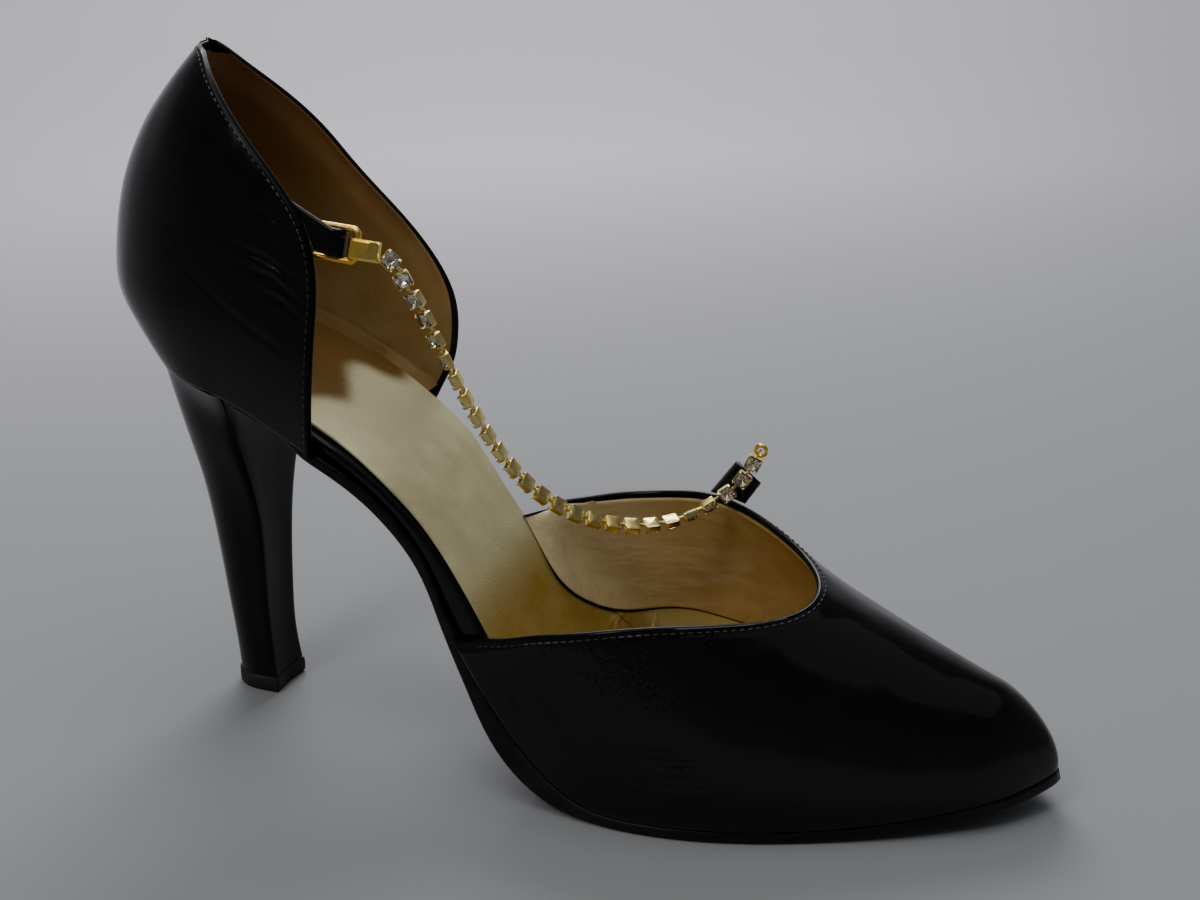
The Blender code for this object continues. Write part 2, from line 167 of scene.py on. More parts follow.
# %% Shader helpers
def new_group(name, inputs, outputs):
    """A shader group with named number inputs and outputs; gives its tree and its two end nodes."""
    tree = bpy.data.node_groups.new(name, "ShaderNodeTree")
    for label, value in inputs.items():
        socket = tree.interface.new_socket(label, in_out="INPUT", socket_type="NodeSocketFloat")
        socket.default_value = value
    tree.interface.new_socket("Vector", in_out="INPUT", socket_type="NodeSocketVector")
    for label in outputs:
        tree.interface.new_socket(label, in_out="OUTPUT", socket_type="NodeSocketFloat")
    return tree, tree.nodes.new("NodeGroupInput"), tree.nodes.new("NodeGroupOutput")


def add_node(tree, kind, settings=(), **links):
    """A node of a kind with its settings; each link name is an input, fed by a socket or a value."""
    node = tree.nodes.new("ShaderNode" + kind)
    for label, value in dict(settings).items():
        setattr(node, label, value)
    for label, source in links.items():
        numbered = label[0] == "i" and label[1:].isdigit()
        socket = node.inputs[int(label[1:]) if numbered else label]
        if isinstance(source, bpy.types.NodeSocket):
            tree.links.new(source, socket)
        else:
            socket.default_value = source
    return node


def math_node(tree, operation, first, second=0.0):
    """The value of one sum, product or other operation of two values."""
    return add_node(tree, "Math", {"operation": operation}, i0=first, i1=second).outputs[0]


def ramp(tree, value, low, high):
    """A value stretched so that low gives 0 and high gives 1, smooth at both ends."""
    node = add_node(tree, "MapRange", {"interpolation_type": "SMOOTHSTEP"}, Value=value)
    node.inputs["From Min"].default_value = low
    node.inputs["From Max"].default_value = high
    return node.outputs["Result"]


def noise(tree, vector, scale, detail=2.0, roughness=0.5):
    """A soft cloudy value around one half."""
    node = add_node(tree, "TexNoise", Vector=vector, Scale=scale, Detail=detail, Roughness=roughness)
    return node.outputs["Fac"]


# %% [markdown]
# Three effects turn up in several finishes, so each is one shader group with its own inputs.
# The first is a soft waviness with a web of creases: the borders of Voronoi cells, bent by a
# noise so that they don't run straight. The second is leather grain, pores that are deeper in
# some places. The third is the dust and the smears of a worn shoe. The groups only give
# heights and masks, and the Principled shader stays in each material.

# %% Shared effects
creases, given, result = new_group(
    "wave_and_crease", {"Wave Scale": 60.0, "Crease Scale": 700.0, "Crease": 0.0}, ["Height"])
stir = add_node(creases, "TexNoise", Vector=given.outputs["Vector"], Scale=150.0).outputs["Color"]
shift = add_node(creases, "VectorMath", {"operation": "SCALE"}, i0=stir, Scale=0.006).outputs[0]
bent = add_node(creases, "VectorMath", {"operation": "ADD"}, i0=given.outputs["Vector"], i1=shift).outputs[0]
cells = add_node(creases, "TexVoronoi", {"feature": "DISTANCE_TO_EDGE"}, Vector=bent,
                 Scale=given.outputs["Crease Scale"]).outputs["Distance"]
lines = ramp(creases, cells, 0.0, 0.22)
wave = noise(creases, given.outputs["Vector"], given.outputs["Wave Scale"], 1.0)
folds = math_node(creases, "MULTIPLY", lines, given.outputs["Crease"])
creases.links.new(math_node(creases, "ADD", wave, folds), result.inputs["Height"])

grain, given, result = new_group("leather_grain", {"Scale": 2200.0}, ["Height", "Tone"])
pores = add_node(grain, "TexVoronoi", {"feature": "F1"}, Vector=given.outputs["Vector"],
                 Scale=given.outputs["Scale"]).outputs["Distance"]
cloud = noise(grain, given.outputs["Vector"], 130.0, 4.0, 0.6)
grain.links.new(math_node(grain, "MULTIPLY", pores, cloud), result.inputs["Height"])
grain.links.new(ramp(grain, cloud, 0.32, 0.68), result.inputs["Tone"])

wear, given, result = new_group("dust_and_smears", {"Specks": 0.5, "Smears": 0.5}, ["Dust", "Smear"])
dots = add_node(wear, "TexVoronoi", {"feature": "F1"}, Vector=given.outputs["Vector"], Scale=330.0)
speck_size = math_node(wear, "MULTIPLY", ramp(wear, dots.outputs["Color"], 0.72, 0.98), 0.085)
near = math_node(wear, "LESS_THAN", dots.outputs["Distance"], speck_size)
patch = ramp(wear, noise(wear, given.outputs["Vector"], 45.0, 3.0), 0.46, 0.66)
specks = math_node(wear, "MULTIPLY", near, patch)
wear.links.new(math_node(wear, "MULTIPLY", specks, given.outputs["Specks"]), result.inputs["Dust"])
haze = ramp(wear, noise(wear, given.outputs["Vector"], 75.0, 5.0, 0.65), 0.42, 0.72)
wear.links.new(math_node(wear, "MULTIPLY", haze, given.outputs["Smears"]), result.inputs["Smear"])
print("shared effects:", creases.name, grain.name, wear.name)


# %% Finishes from nodes
def use_group(tree, group, vector, **values):
    """Places a shared effect in a material, with its own values."""
    node = tree.nodes.new("ShaderNodeGroup")
    node.node_tree = group
    tree.links.new(vector, node.inputs["Vector"])
    for label, value in values.items():
        socket = node.inputs[label.replace("_", " ")]
        if isinstance(value, bpy.types.NodeSocket):
            tree.links.new(value, socket)
        else:
            socket.default_value = value
    return node.outputs


def new_finish(name, **sockets):
    """A Principled material with its plain values set; gives the material, tree, shader and place."""
    finish = bpy.data.materials.new(name)
    finish.use_nodes = True
    tree = finish.node_tree
    shader = tree.nodes["Principled BSDF"]
    for label, value in sockets.items():
        shader.inputs[label.replace("_", " ")].default_value = value
    return finish, tree, shader, add_node(tree, "TexCoord").outputs["Object"]


def mix(tree, share, first, second):
    """A colour between two colours, by a share from 0 to 1."""
    node = add_node(tree, "Mix", {"data_type": "RGBA"}, i0=share)
    for socket, value in ((node.inputs[6], first), (node.inputs[7], second)):
        if isinstance(value, bpy.types.NodeSocket):
            tree.links.new(value, socket)
        else:
            socket.default_value = (*value, 1.0)
    return node.outputs[2]


def between(tree, share, low, high):
    """A number between two numbers, by a share from 0 to 1."""
    node = add_node(tree, "MapRange", Value=share)
    node.inputs["To Min"].default_value = low
    node.inputs["To Max"].default_value = high
    return node.outputs["Result"]


def attribute(tree, name):
    """A value stored with the points of the mesh."""
    return add_node(tree, "Attribute", {"attribute_name": name}).outputs["Fac"]


def feed(tree, shader, depth=0.0, height=None, **sockets):
    """Links colours and values to the shader, and a height through a bump of a depth in millimetres."""
    for label, source in sockets.items():
        tree.links.new(source, shader.inputs[label.replace("_", " ")])
    if height is not None:
        bump = add_node(tree, "Bump", Height=height, Distance=depth * MM)
        tree.links.new(bump.outputs["Normal"], shader.inputs["Normal"])


# %% [markdown]
# Gold plated brass is a metal whose colour lies in its reflections. Plating that has been
# handled goes brown in the corners and dull in patches, so a cloudy tone moves the colour
# and the roughness together. The stones are clear glass, and each lies on a dish of
# silver foil that throws the light back through it.

# %% Gold plate and stones
def gold_finish(name, dark, light):
    """Plated brass, cloudy between a dark and a light tone."""
    finish, tree, shader, where = new_finish(name, Metallic=1.0)
    tone = use_group(tree, grain, where, Scale=1500.0)
    feed(tree, shader, 0.02, tone["Height"], Base_Color=mix(tree, tone["Tone"], dark, light),
         Roughness=between(tree, tone["Tone"], 0.32, 0.18))
    return finish


gold = gold_finish("gold_plate", (0.90, 0.55, 0.08), (1.0, 0.76, 0.20))
pale_gold = gold_finish("pale_gold_plate", (0.78, 0.58, 0.17), (1.0, 0.84, 0.38))

glass, tree, shader, where = new_finish("clear_stone", Transmission_Weight=1.0, IOR=1.6)
smear = use_group(tree, wear, where, Smears=1.0)["Smear"]
feed(tree, shader, Base_Color=mix(tree, smear, (0.98, 0.98, 0.95), (0.86, 0.84, 0.76)),
     Roughness=between(tree, smear, 0.0, 0.10))

silver, tree, shader, where = new_finish("silver_foil", Metallic=1.0)
smear = use_group(tree, wear, where, Smears=1.0)["Smear"]
feed(tree, shader, Base_Color=mix(tree, smear, (0.72, 0.64, 0.40), (0.42, 0.35, 0.19)),
     Roughness=between(tree, smear, 0.12, 0.30))
print("metals and stones:", gold.name, pale_gold.name, glass.name, silver.name)

# %% [markdown]
# The strap is a cup chain: square brass cups, each holding one stone with four corner claws,
# linked behind. It hangs from the clasp at the buckle, down over the instep, and up to the
# tab on the inner side, and it twists on the way, so the stones face out at both ends and
# the backs of the cups show between. Its route is a short list of points with a smooth
# curve through them. Array and Curve modifiers could repeat a cup along it, but here one cup
# is worked out and carried to every place by its own axes, so each can have its own twist.

# %% Tables and a smooth curve through them
def table(names, *rows):
    """Columns of a table by name."""
    return dict(zip(names.split(), np.array(rows, float).T))


def spline(knots, values, at):
    """Natural cubic spline: pieces of cubic curve that meet with one slope and one bend."""
    step = np.diff(knots)
    rise = np.diff(values) / step
    inner = np.arange(1, len(knots) - 1)
    system = np.eye(len(knots))
    system[inner, inner - 1] = step[:-1]
    system[inner, inner] = 2 * (step[:-1] + step[1:])
    system[inner, inner + 1] = step[1:]
    change = np.zeros(len(knots))
    change[inner] = 6 * np.diff(rise)
    bend = np.linalg.solve(system, change)
    at = np.asarray(at, float)
    k = np.clip(np.searchsorted(knots, at) - 1, 0, len(step) - 1)
    a = (knots[k + 1] - at) / step[k]
    b = (at - knots[k]) / step[k]
    curve = (a ** 3 - a) * bend[k] + (b ** 3 - b) * bend[k + 1]
    return a * values[k] + b * values[k + 1] + curve * step[k] ** 2 / 6


CHAIN_ROUTE = np.array([
    (40.0, -20.4, 111.3), (42.6, -20.3, 110.2), (44.4, -18.9, 106.4), (46.6, -16.9, 100.6),
    (48.8, -15.2, 94.4), (51.0, -13.5, 88.1), (53.3, -11.8, 81.7), (55.8, -9.9, 75.4),
    (58.5, -7.7, 69.3), (61.5, -5.3, 63.6), (65.0, -2.4, 58.5), (69.0, 1.1, 54.1),
    (73.4, 5.0, 50.6), (78.1, 9.1, 48.1), (83.1, 13.2, 46.7), (88.2, 17.3, 46.6),
    (93.3, 20.9, 48.0), (98.3, 23.9, 51.1), (102.6, 25.5, 55.2), (105.4, 25.6, 60.0)])
route_run = np.concatenate([[0], np.cumsum(np.linalg.norm(np.diff(CHAIN_ROUTE, axis=0), axis=1))])


def on_route(run):
    """The point of the chain's smooth curve at a distance along it."""
    return np.stack([spline(route_run, CHAIN_ROUTE[:, axis], run) for axis in range(3)], -1)


# %% Frames for the cups
CUP_COUNT, CUP_PITCH, FIRST_CUP, CUP_REACH = 26, 4.69, 3.25, 1.75
TWIST = table("cup turn", (0, 0), (1, -5), (2, -42), (4, -62), (5, -85), (6, -104), (8, -116), (11, -128),
              (13, -145), (15, -152), (17, -140), (20, -125), (22, -60), (23, -15), (25, 0))
OUTWARD = np.array([0.33, -0.87, 0.36])

cup_run = FIRST_CUP + CUP_PITCH * np.arange(CUP_COUNT)
cup_place = on_route(cup_run)
cup_along = unit(on_route(cup_run + 0.5) - on_route(cup_run - 0.5))
cup_out = unit(OUTWARD - cup_along * (cup_along @ OUTWARD)[:, None])
cup_side = np.cross(cup_out, cup_along)
cup_turn = np.radians(np.interp(np.arange(CUP_COUNT), TWIST["cup"], TWIST["turn"]))[:, None]
cup_face = cup_out * np.cos(cup_turn) + cup_side * np.sin(cup_turn)
cup_frames = np.stack([cup_along, np.cross(cup_face, cup_along), cup_face], 1)
print("cups every", CUP_PITCH, "mm, turned by up to", abs(TWIST["turn"]).max(), "degrees")


# %% Carried shapes, square rings and tubes
def carry(points, frames, places):
    """One shape's points carried to many places: its X, Y and Z laid along each frame's axes."""
    return (points @ frames + places[:, None]).reshape(-1, 3)


def carry_faces(faces, points, copies):
    """The faces of one shape repeated for every copy."""
    return (faces[None] + points * np.arange(copies)[:, None, None]).reshape(-1, faces.shape[1])


def square_rings(sizes, heights, squareness, count):
    """Rounded squares stacked up: a circle's cosine and sine raised to a power under one."""
    angle = (np.arange(count) + 0.5) / count * 2 * np.pi
    cos, sin = np.cos(angle), np.sin(angle)
    flat = np.stack([np.sign(cos) * abs(cos) ** squareness, np.sign(sin) * abs(sin) ** squareness], -1)
    flat = flat[None] * np.asarray(sizes, float)[:, None, None]
    rise = np.broadcast_to(np.asarray(heights, float)[:, None, None], flat.shape[:2] + (1,))
    return np.concatenate([flat, rise], -1)


def tube_grid(path, radius, sides=8):
    """A round tube on a path: a circle across the path's direction at every point."""
    path = np.asarray(path, float)
    heading = unit(np.gradient(path, axis=0))
    pole = np.eye(3)[np.argmin(np.abs(heading).mean(0))]
    first = unit(np.cross(heading, pole))
    second = np.cross(heading, first)
    turn = np.linspace(0, 2 * np.pi, sides, endpoint=False)
    radius = np.broadcast_to(radius, len(path))[:, None, None]
    ring = first[:, None] * np.cos(turn)[:, None] + second[:, None] * np.sin(turn)[:, None]
    return path[:, None] + ring * radius


# %% One cup, its claws and link, carried along the chain
CUP_SQUARE, STONE_SQUARE, LINK_RADIUS = 0.26, 0.62, 0.36
CUP = table("size height", (0, -1.2), (1.4, -1.2), (1.62, -1.1), (1.7, -0.92), (1.72, 0.22), (1.62, 0.3),
            (1.42, 0.1), (0.6, -1))
CLAW = table("out height radius", (1.42, -0.2, 0.25), (1.44, 0.4, 0.25), (1.34, 0.74, 0.24),
             (1.12, 0.9, 0.2), (1, 0.9, 0.02))
LINK = np.array([(1.3, 0, -0.75), (1.75, 0, -0.72), (2.35, 0, -0.62), (2.95, 0, -0.72), (3.4, 0, -0.75)])
ROUND = (False, True)

cup = square_rings(CUP["size"], CUP["height"], CUP_SQUARE, 20)
claw = np.stack([CLAW["out"], CLAW["out"], CLAW["height"]], -1)
corners = [(-1, -1, 1), (-1, 1, 1), (1, -1, 1), (1, 1, 1)]
claws = [(tube_grid(claw * corner, CLAW["radius"], 6), ROUND) for corner in corners]
cup_points, cup_faces = join_grids((cup[:, ::-1], ROUND), *claws, (tube_grid(LINK, LINK_RADIUS), ROUND))
chain = add_mesh("cup_chain", carry(cup_points, cup_frames, cup_place),
                 carry_faces(cup_faces, len(cup_points), CUP_COUNT), pale_gold, sharp=40)
fit(chain, "stone_chain", "rhinestone_chain")

# %% The stones and their foil
STONE = table("size height", (0, 1.08), (0.8, 1.08), (1.5, 0.52), (1.5, 0.36), (0.75, -0.25), (0, -0.75))
DISH = table("size height", (0, -0.8), (0.75, -0.3), (1.47, 0.31), (1.47, 0.22), (0.75, -0.39), (0, -0.9))
FACETS = 8

stone = square_rings(STONE["size"], STONE["height"], STONE_SQUARE, FACETS)
stone_faces = cell_corners(*stone.shape[:2], closed_columns=True)
stones = add_mesh("chain_stones", carry(stone.reshape(-1, 3), cup_frames, cup_place),
                  carry_faces(stone_faces, stone[..., 0].size, CUP_COUNT), glass, sharp=5)
fit(stones, "stone_chain")
dish = square_rings(DISH["size"], DISH["height"], STONE_SQUARE, FACETS)
foils = add_mesh("stone_foils", carry(dish.reshape(-1, 3), cup_frames, cup_place),
                 carry_faces(stone_faces, dish[..., 0].size, CUP_COUNT), silver, sharp=5)
fit(foils, "stone_chain")

# %% The ring at the chain's free end
RING_RADIUS, RING_WIRE, RING_GAP = 1.2, 0.45, 0.3

end_way = unit(on_route(route_run[-1]) - on_route(route_run[-1] - 1.0))
ring_turn = np.linspace(0, 2 * np.pi, 40, endpoint=False)
chain_end = on_route(cup_run[-1] + CUP_REACH)
ring_middle = chain_end + end_way * (RING_RADIUS + RING_WIRE + RING_GAP)
ring_across = np.stack([end_way, unit(np.cross((0, 1, 0), end_way))])
ring_out = np.stack([np.cos(ring_turn), np.sin(ring_turn)], -1) @ ring_across
wire_turn = np.linspace(0, 2 * np.pi, 14, endpoint=False)[None, :, None]
ring = ring_middle + ring_out[:, None] * (RING_RADIUS + RING_WIRE * np.cos(wire_turn))
ring = ring + np.cross(*ring_across) * RING_WIRE * np.sin(wire_turn)
end_ring = add_grid("chain_ring", ring, gold, True, True)
fit(end_ring, "gold_metal", "end_ring")
print("chain of", CUP_COUNT, "cups,", round(float(route_run[-1]), 1), "mm")

# %% [markdown]
# The shoe's own shape comes from a few tables: the last's bottom seen from the side and
# from above, the ridge over the forefoot, the vamp's top edge, the quarter's levels and
# the heel's sections. They are the values that the solids were made from, so the leather
# below lies on them, only with far finer grids. A few places were moved by some millimetres
# after a look at the picture: the vamp's two rear corners, the heel's breast and uppermost
# section, the inner edge of the sole's layers at the waist, and the lower outer edge there,
# which the table of the sag lets down a little.

# %% Tables of the shoe's shape
LAST = table("x feather lateral medial edge",
             (-34, 84.6, 23, 23, 1.9), (-20, 84.3, 23, 23, 1.9), (-6, 82.2, 23.2, 23.2, 1.9),
             (6, 78.7, 23.4, 23.5, 1.9), (16, 73.9, 23.1, 23.5, 1.7), (26, 68, 22.3, 23.1, 1.0),
             (36, 60.2, 21, 22.3, 0.2), (46, 49.8, 20.6, 22, 0.2), (56, 36.9, 22, 23.2, 0.7),
             (64, 25.2, 24.6, 26.2, 1.2), (72, 14.6, 27.3, 30.2, 1.7), (80, 7.1, 29.3, 33.4, 1.9),
             (88, 3.7, 30.5, 35.3, 1.9), (96, 2.9, 30.8, 36.3, 1.9), (108, 2.9, 29.6, 36.3, 1.9),
             (120, 2.9, 26.5, 34.6, 1.9), (134, 3.3, 21.2, 30.4, 1.9), (148, 4.5, 15, 24.8, 1.9),
             (160, 6.2, 8.6, 19.8, 1.9), (170, 8, 2.4, 15, 1.9), (180, 10.2, -4.4, 10, 1.9))
RIDGE = table("x across height outer_full inner_full",
              (44, 1, 116, 0.12, 0.26), (70, 2, 91, 0.12, 0.26), (96, 3, 66.5, 0.12, 0.26),
              (110, 3.4, 54.4, 0.12, 0.26), (124, 3.8, 44.2, 0.12, 0.20), (138, 4.6, 37.2, 0.09, 0.12),
              (152, 5.4, 30.8, 0.05, 0.06), (164, 6, 25.9, 0.02, 0.02), (180, 6.4, 21.5, 0, 0))
VAMP_TOPLINE = table("angle x",
                     (0, 58.1), (6, 62.8), (12, 67.4), (23, 77), (34, 90.2), (46, 105), (57, 115.5),
                     (66, 121.4), (75, 124.7), (85, 125.8), (95, 124.7), (105, 121.3), (114, 115.6),
                     (122, 107.2), (130, 98), (140, 87), (152, 73.8), (162, 64.8), (172, 57.6),
                     (180, 54.6))
QUARTER = table("rise back half round outer_front inner_front",
                (0, -20.5, 25.4, 23.5, 25.3, 28.6), (7, -27.1, 26.7, 29.5, 26.3, 31),
                (14, -30.8, 27.3, 32.5, 27.1, 33.2), (21, -31, 27, 33, 27.7, 34.4),
                (28, -30, 26.2, 33, 28.1, 34.7), (34, -28.7, 25.2, 33, 28.4, 32.4),
                (39, -27, 24.2, 32.5, 28.2, 25.5), (44, -24.7, 23, 32, 27.1, 15),
                (49, -21.9, 21.6, 31, 23.6, 8), (55, -17.7, 19.3, 30, 13.4, 0.8),
                (61, -13, 16.4, 28, 3.3, -5.6), (66, -8.8, 13.2, 26, -4.2, -8.2))
HEEL = table("back_x back_z front_x front_z half",
             (-12.4, 4.1, 0.1, 4.1, 6), (-13.1, 12, -0.6, 12, 6), (-14.2, 22, -0.8, 22, 6.3),
             (-15.5, 34, -0.5, 33, 6.8), (-16.9, 46, -0.1, 44.5, 8), (-18.2, 58, 0.1, 55, 11.2),
             (-19.2, 69, 0.7, 65, 15.4), (-19.4, 78, 2.5, 73, 19.6))
SAG = table("x upper sole",
            (44, 0, 0), (48, 0.6, 0.6), (52, 2.2, 2.2), (56, 3.3, 3.3), (60, 3.4, 3.4), (64, 2.7, 3.9),
            (68, 2.0, 4.4), (72, 1.2, 3.8), (76, 0.6, 3.0), (80, 0.2, 1.9), (86, 0, 0.4), (92, 0, 0))
GAP, WALL_OUT = 0.3, 1.9
VAMP_WALL, QUARTER_WALL = 1.5, 1.6
OUTSOLE_THICK, INSOLE_THICK, SOCK_THICK = 2.6, 2.8, 0.8
HEEL_END, HEEL_ROUND, HEEL_FRONT = -18.6, 3.0, 5.0
TOE_END, TOE_ROUND = 174.2, 162.5
SOCK_TOP = INSOLE_THICK + GAP + SOCK_THICK
print("tables of", len(LAST["x"]), "places on the last and", len(QUARTER["rise"]), "levels of the quarter")


# %% [markdown]
# The tables become surfaces here. A subdivided cage could give such a shape too, but with
# functions every piece asks the same last where it is: the feather line, where upper and sole
# meet, the outline in plan, and the outer faces of the vamp and of the quarter. The vamp's
# sections are half ellipses, fuller low down, and the quarter's levels are U-shaped.

# %% Functions of the last
def feather(x):
    """Height of the feather line, where upper and sole meet; under the ball the sole lies flat."""
    return np.maximum(spline(LAST["x"], LAST["feather"], x), OUTSOLE_THICK + GAP)


def feather_normal(x):
    """The feather line's upward normal from its slope over a tenth of a millimetre, as X and Z."""
    slope = (feather(x + 0.05) - feather(x - 0.05)) / 0.1
    length = np.sqrt(1 + slope ** 2)
    return -slope / length, 1 / length


def round_end(x, start, end):
    """A quarter ellipse's half width, from 1 at start to 0 at end."""
    share = np.clip((x - start) / (end - start), 0, 1)
    return np.sqrt(1 - share ** 2)


def outline(x, out):
    """Outer and inner edge in plan of the last's outline, moved out by a margin."""
    outer = spline(LAST["x"], LAST["lateral"], x)
    inner = spline(LAST["x"], LAST["medial"], x)
    ends = round_end(x, HEEL_ROUND, HEEL_END - out) * round_end(x, TOE_ROUND, TOE_END + out)
    half = (0.5 * (outer + inner) + out) * ends
    middle = 0.5 * (inner - outer)
    return middle - half, middle + half


def vamp_surface(x, angle):
    """The vamp's outer face: a full half ellipse from feather edge over the ridge to feather edge."""
    outer, inner = outline(x, WALL_OUT)
    across = spline(RIDGE["x"], RIDGE["across"], x)
    top = spline(RIDGE["x"], RIDGE["height"], x)
    foot = feather(x)
    cos, sin = np.cos(angle), np.sin(angle)
    outer_full, inner_full = (spline(RIDGE["x"], RIDGE[side], x) for side in ("outer_full", "inner_full"))
    full = np.where(cos > 0, outer_full, inner_full)
    reach = np.where(cos > 0, across - outer, inner - across)
    y = across - reach * cos * (1 + full * sin ** 2)
    z = foot + (top - foot) * round_end(x, TOE_ROUND, TOE_END + WALL_OUT) * sin
    return np.stack([x, y, z], -1)


def vamp_grid(rows, angles, set_back=0.0):
    """The vamp's outer face from its top edge, or a step behind it, to the toe, crowded at the toe."""
    angle = np.radians(angles)[None, :]
    start = spline(VAMP_TOPLINE["angle"], VAMP_TOPLINE["x"], angles)[None, :] + set_back
    left = (1 - np.linspace(0, 1, rows)[:, None]) ** 1.8
    end = TOE_END + WALL_OUT
    x = end - (end - start) * left
    grid = vamp_surface(x, np.broadcast_to(angle, x.shape))
    grid[-1] = (end, 0.5 * np.sum(outline(np.array([end]), WALL_OUT)), feather(end))
    return grid


def quarter_surface(rise, around):
    """The quarter's outer face: U-shaped levels over the seat, from outer front to inner front."""
    value = {name: spline(QUARTER["rise"], column, rise) for name, column in QUARTER.items()}
    front = np.where(around < 0, value["outer_front"], value["inner_front"])
    share = around ** 2 * (1.6 - 0.6 * around ** 2)
    x = value["back"] + (front - value["back"]) * share
    depth = np.clip((x - value["back"]) / value["round"], 0, 1)
    side = value["half"] * np.sqrt(1 - (1 - depth) ** 2)
    return np.stack([x, np.sign(around) * side, feather(x) + rise], -1)


seat_height, ball_height = (float(feather(x)) for x in (HEEL_END, 108))
print("feather line from", seat_height, "mm at the seat to", ball_height, "mm at the ball")

# %% [markdown]
# Patent leather is leather under a thick clear lacquer: nearly black, very smooth, with a
# waviness that bends its reflections, and a fine web of creases where the foot has bent it.
# Handling leaves a haze that roughens the gloss, and a little dust. A coat over a dull base
# could give the lacquer, but one smooth layer looks the same on black. The stored value
# "creased" says where the web of creases shows, and "dulled" where the lacquer is rubbed.

# %% Patent leather
def patent_finish(name, gloss):
    """Black lacquered leather with creases, haze and dust, of a given strength of reflection."""
    finish, tree, shader, where = new_finish(name, Specular_IOR_Level=gloss)
    creased = math_node(tree, "MULTIPLY", attribute(tree, "creased"), 0.12)
    upright = add_node(tree, "Mapping", Vector=where, Rotation=(0.0, 0.25, 0.0), Scale=(1.1, 1.1, 0.32))
    web = use_group(tree, creases, upright.outputs[0], Wave_Scale=70.0, Crease_Scale=760.0,
                    Crease=creased)["Height"]
    marks = use_group(tree, wear, where, Specks=0.8, Smears=0.7)
    rubbed = math_node(tree, "MAXIMUM", marks["Smear"], attribute(tree, "dulled"))
    black = mix(tree, rubbed, (0.0022, 0.0022, 0.0019), (0.0040, 0.0040, 0.0036))
    feed(tree, shader, 0.55, web, Base_Color=mix(tree, marks["Dust"], black, (0.16, 0.155, 0.14)),
         Roughness=between(tree, rubbed, 0.10, 0.26))
    return finish


patent = patent_finish("black_patent", 0.28)
heel_patent = patent_finish("black_dull_patent", 0.14)

# %% [markdown]
# The linings are thin goat skin, tan and slightly shiny. They are browner in places, partly as painted
# shade, and a painted sheen lightens the crests of their wrinkles. Their wrinkles could be modelled, but
# they are so fine that a bump of a noise drawn out along the foot does as well.

# %% Lining leather
lining, tree, shader, where = new_finish("tan_lining", Specular_IOR_Level=0.3)
skin = use_group(tree, grain, where, Scale=1700.0)
drawn = add_node(tree, "Mapping", Vector=where, Rotation=(0.0, 0.35, 0.0), Scale=(0.22, 1.0, 1.0))
pull = noise(tree, drawn.outputs[0], 210.0, 3.0, 0.55)
wrinkled = attribute(tree, "wrinkled")
wrinkle = math_node(tree, "MULTIPLY", pull, wrinkled)
# painted sheen: the crests of the wrinkles are coloured lighter
shine = math_node(tree, "MULTIPLY", ramp(tree, pull, 0.50, 0.70), wrinkled)
tan = mix(tree, skin["Tone"], (0.44, 0.285, 0.095), (0.53, 0.36, 0.135))
tan = mix(tree, shine, tan, (0.58, 0.44, 0.25))
gilt = mix(tree, attribute(tree, "gilded"), tan, (0.56, 0.48, 0.29))
pores = math_node(tree, "MULTIPLY", skin["Height"], 0.12)
# the stored browning carries painted shade as well as the lining's own colour
feed(tree, shader, 0.5, math_node(tree, "ADD", wrinkle, pores),
     Base_Color=mix(tree, attribute(tree, "browned"), gilt, (0.14, 0.050, 0.010)),
     Roughness=between(tree, skin["Tone"], 0.45, 0.58))

# %% [markdown]
# The sock is leather with a pale gold foil: a half metallic surface that turns to ochre over the ball, with
# fine wrinkles across. Under the heel the foil is stained brown, and just in front of that a painted light
# makes it paler and less metallic. The stored values say where each of these lies, so the same nodes serve
# the whole sheet.

# %% Sock leather
foil, tree, shader, where = new_finish("pale_gold_leather")
skin = use_group(tree, grain, where, Scale=1900.0)
worn = attribute(tree, "worn")
ripple = use_group(tree, creases, where, Wave_Scale=90.0)["Height"]
drawn = add_node(tree, "Mapping", Vector=where, Scale=(1.0, 0.14, 0.14)).outputs[0]
streak = ramp(tree, noise(tree, drawn, 430.0, 2.0, 0.6), 0.52, 0.70)
streak = math_node(tree, "MULTIPLY", streak, attribute(tree, "wrinkled"))
blotch = math_node(tree, "MULTIPLY", worn, between(tree, skin["Tone"], 0.80, 1.0))
pale = mix(tree, skin["Tone"], (0.64, 0.585, 0.31), (0.70, 0.645, 0.365))
# painted light: the foil in front of the seat stain is coloured paler and made less metallic
clean = attribute(tree, "clean")
pale = mix(tree, clean, pale, (0.95, 0.90, 0.56))
ochre = mix(tree, blotch, pale, (0.36, 0.23, 0.028))
ochre = mix(tree, math_node(tree, "MULTIPLY", streak, 0.5), ochre, (0.70, 0.56, 0.20))
raised = math_node(tree, "ADD", ripple, math_node(tree, "MULTIPLY", streak, 0.8))
raised = math_node(tree, "ADD", raised, math_node(tree, "MULTIPLY", skin["Height"], 0.2))
cloud = math_node(tree, "MULTIPLY", noise(tree, where, 260.0, 3.0), 0.3)
soiled = ramp(tree, math_node(tree, "ADD", attribute(tree, "stained"), cloud), 0.2, 1.1)
rubbed = math_node(tree, "MULTIPLY", blotch, 0.25)
bare = math_node(tree, "MAXIMUM", rubbed, math_node(tree, "MAXIMUM", soiled, clean))
feed(tree, shader, 0.35, raised,
     Base_Color=mix(tree, soiled, ochre, (0.23, 0.12, 0.028)),
     Metallic=between(tree, bare, 0.55, 0.10), Roughness=between(tree, skin["Tone"], 0.38, 0.48))

# %% [markdown]
# The sole's edge and underside are dyed leather, dull, dusty and scuffed grey where it treads.
# The tip under the heel is hard rubber, rougher still. Both could share one black, but the
# little difference in gloss is what tells the pieces apart.

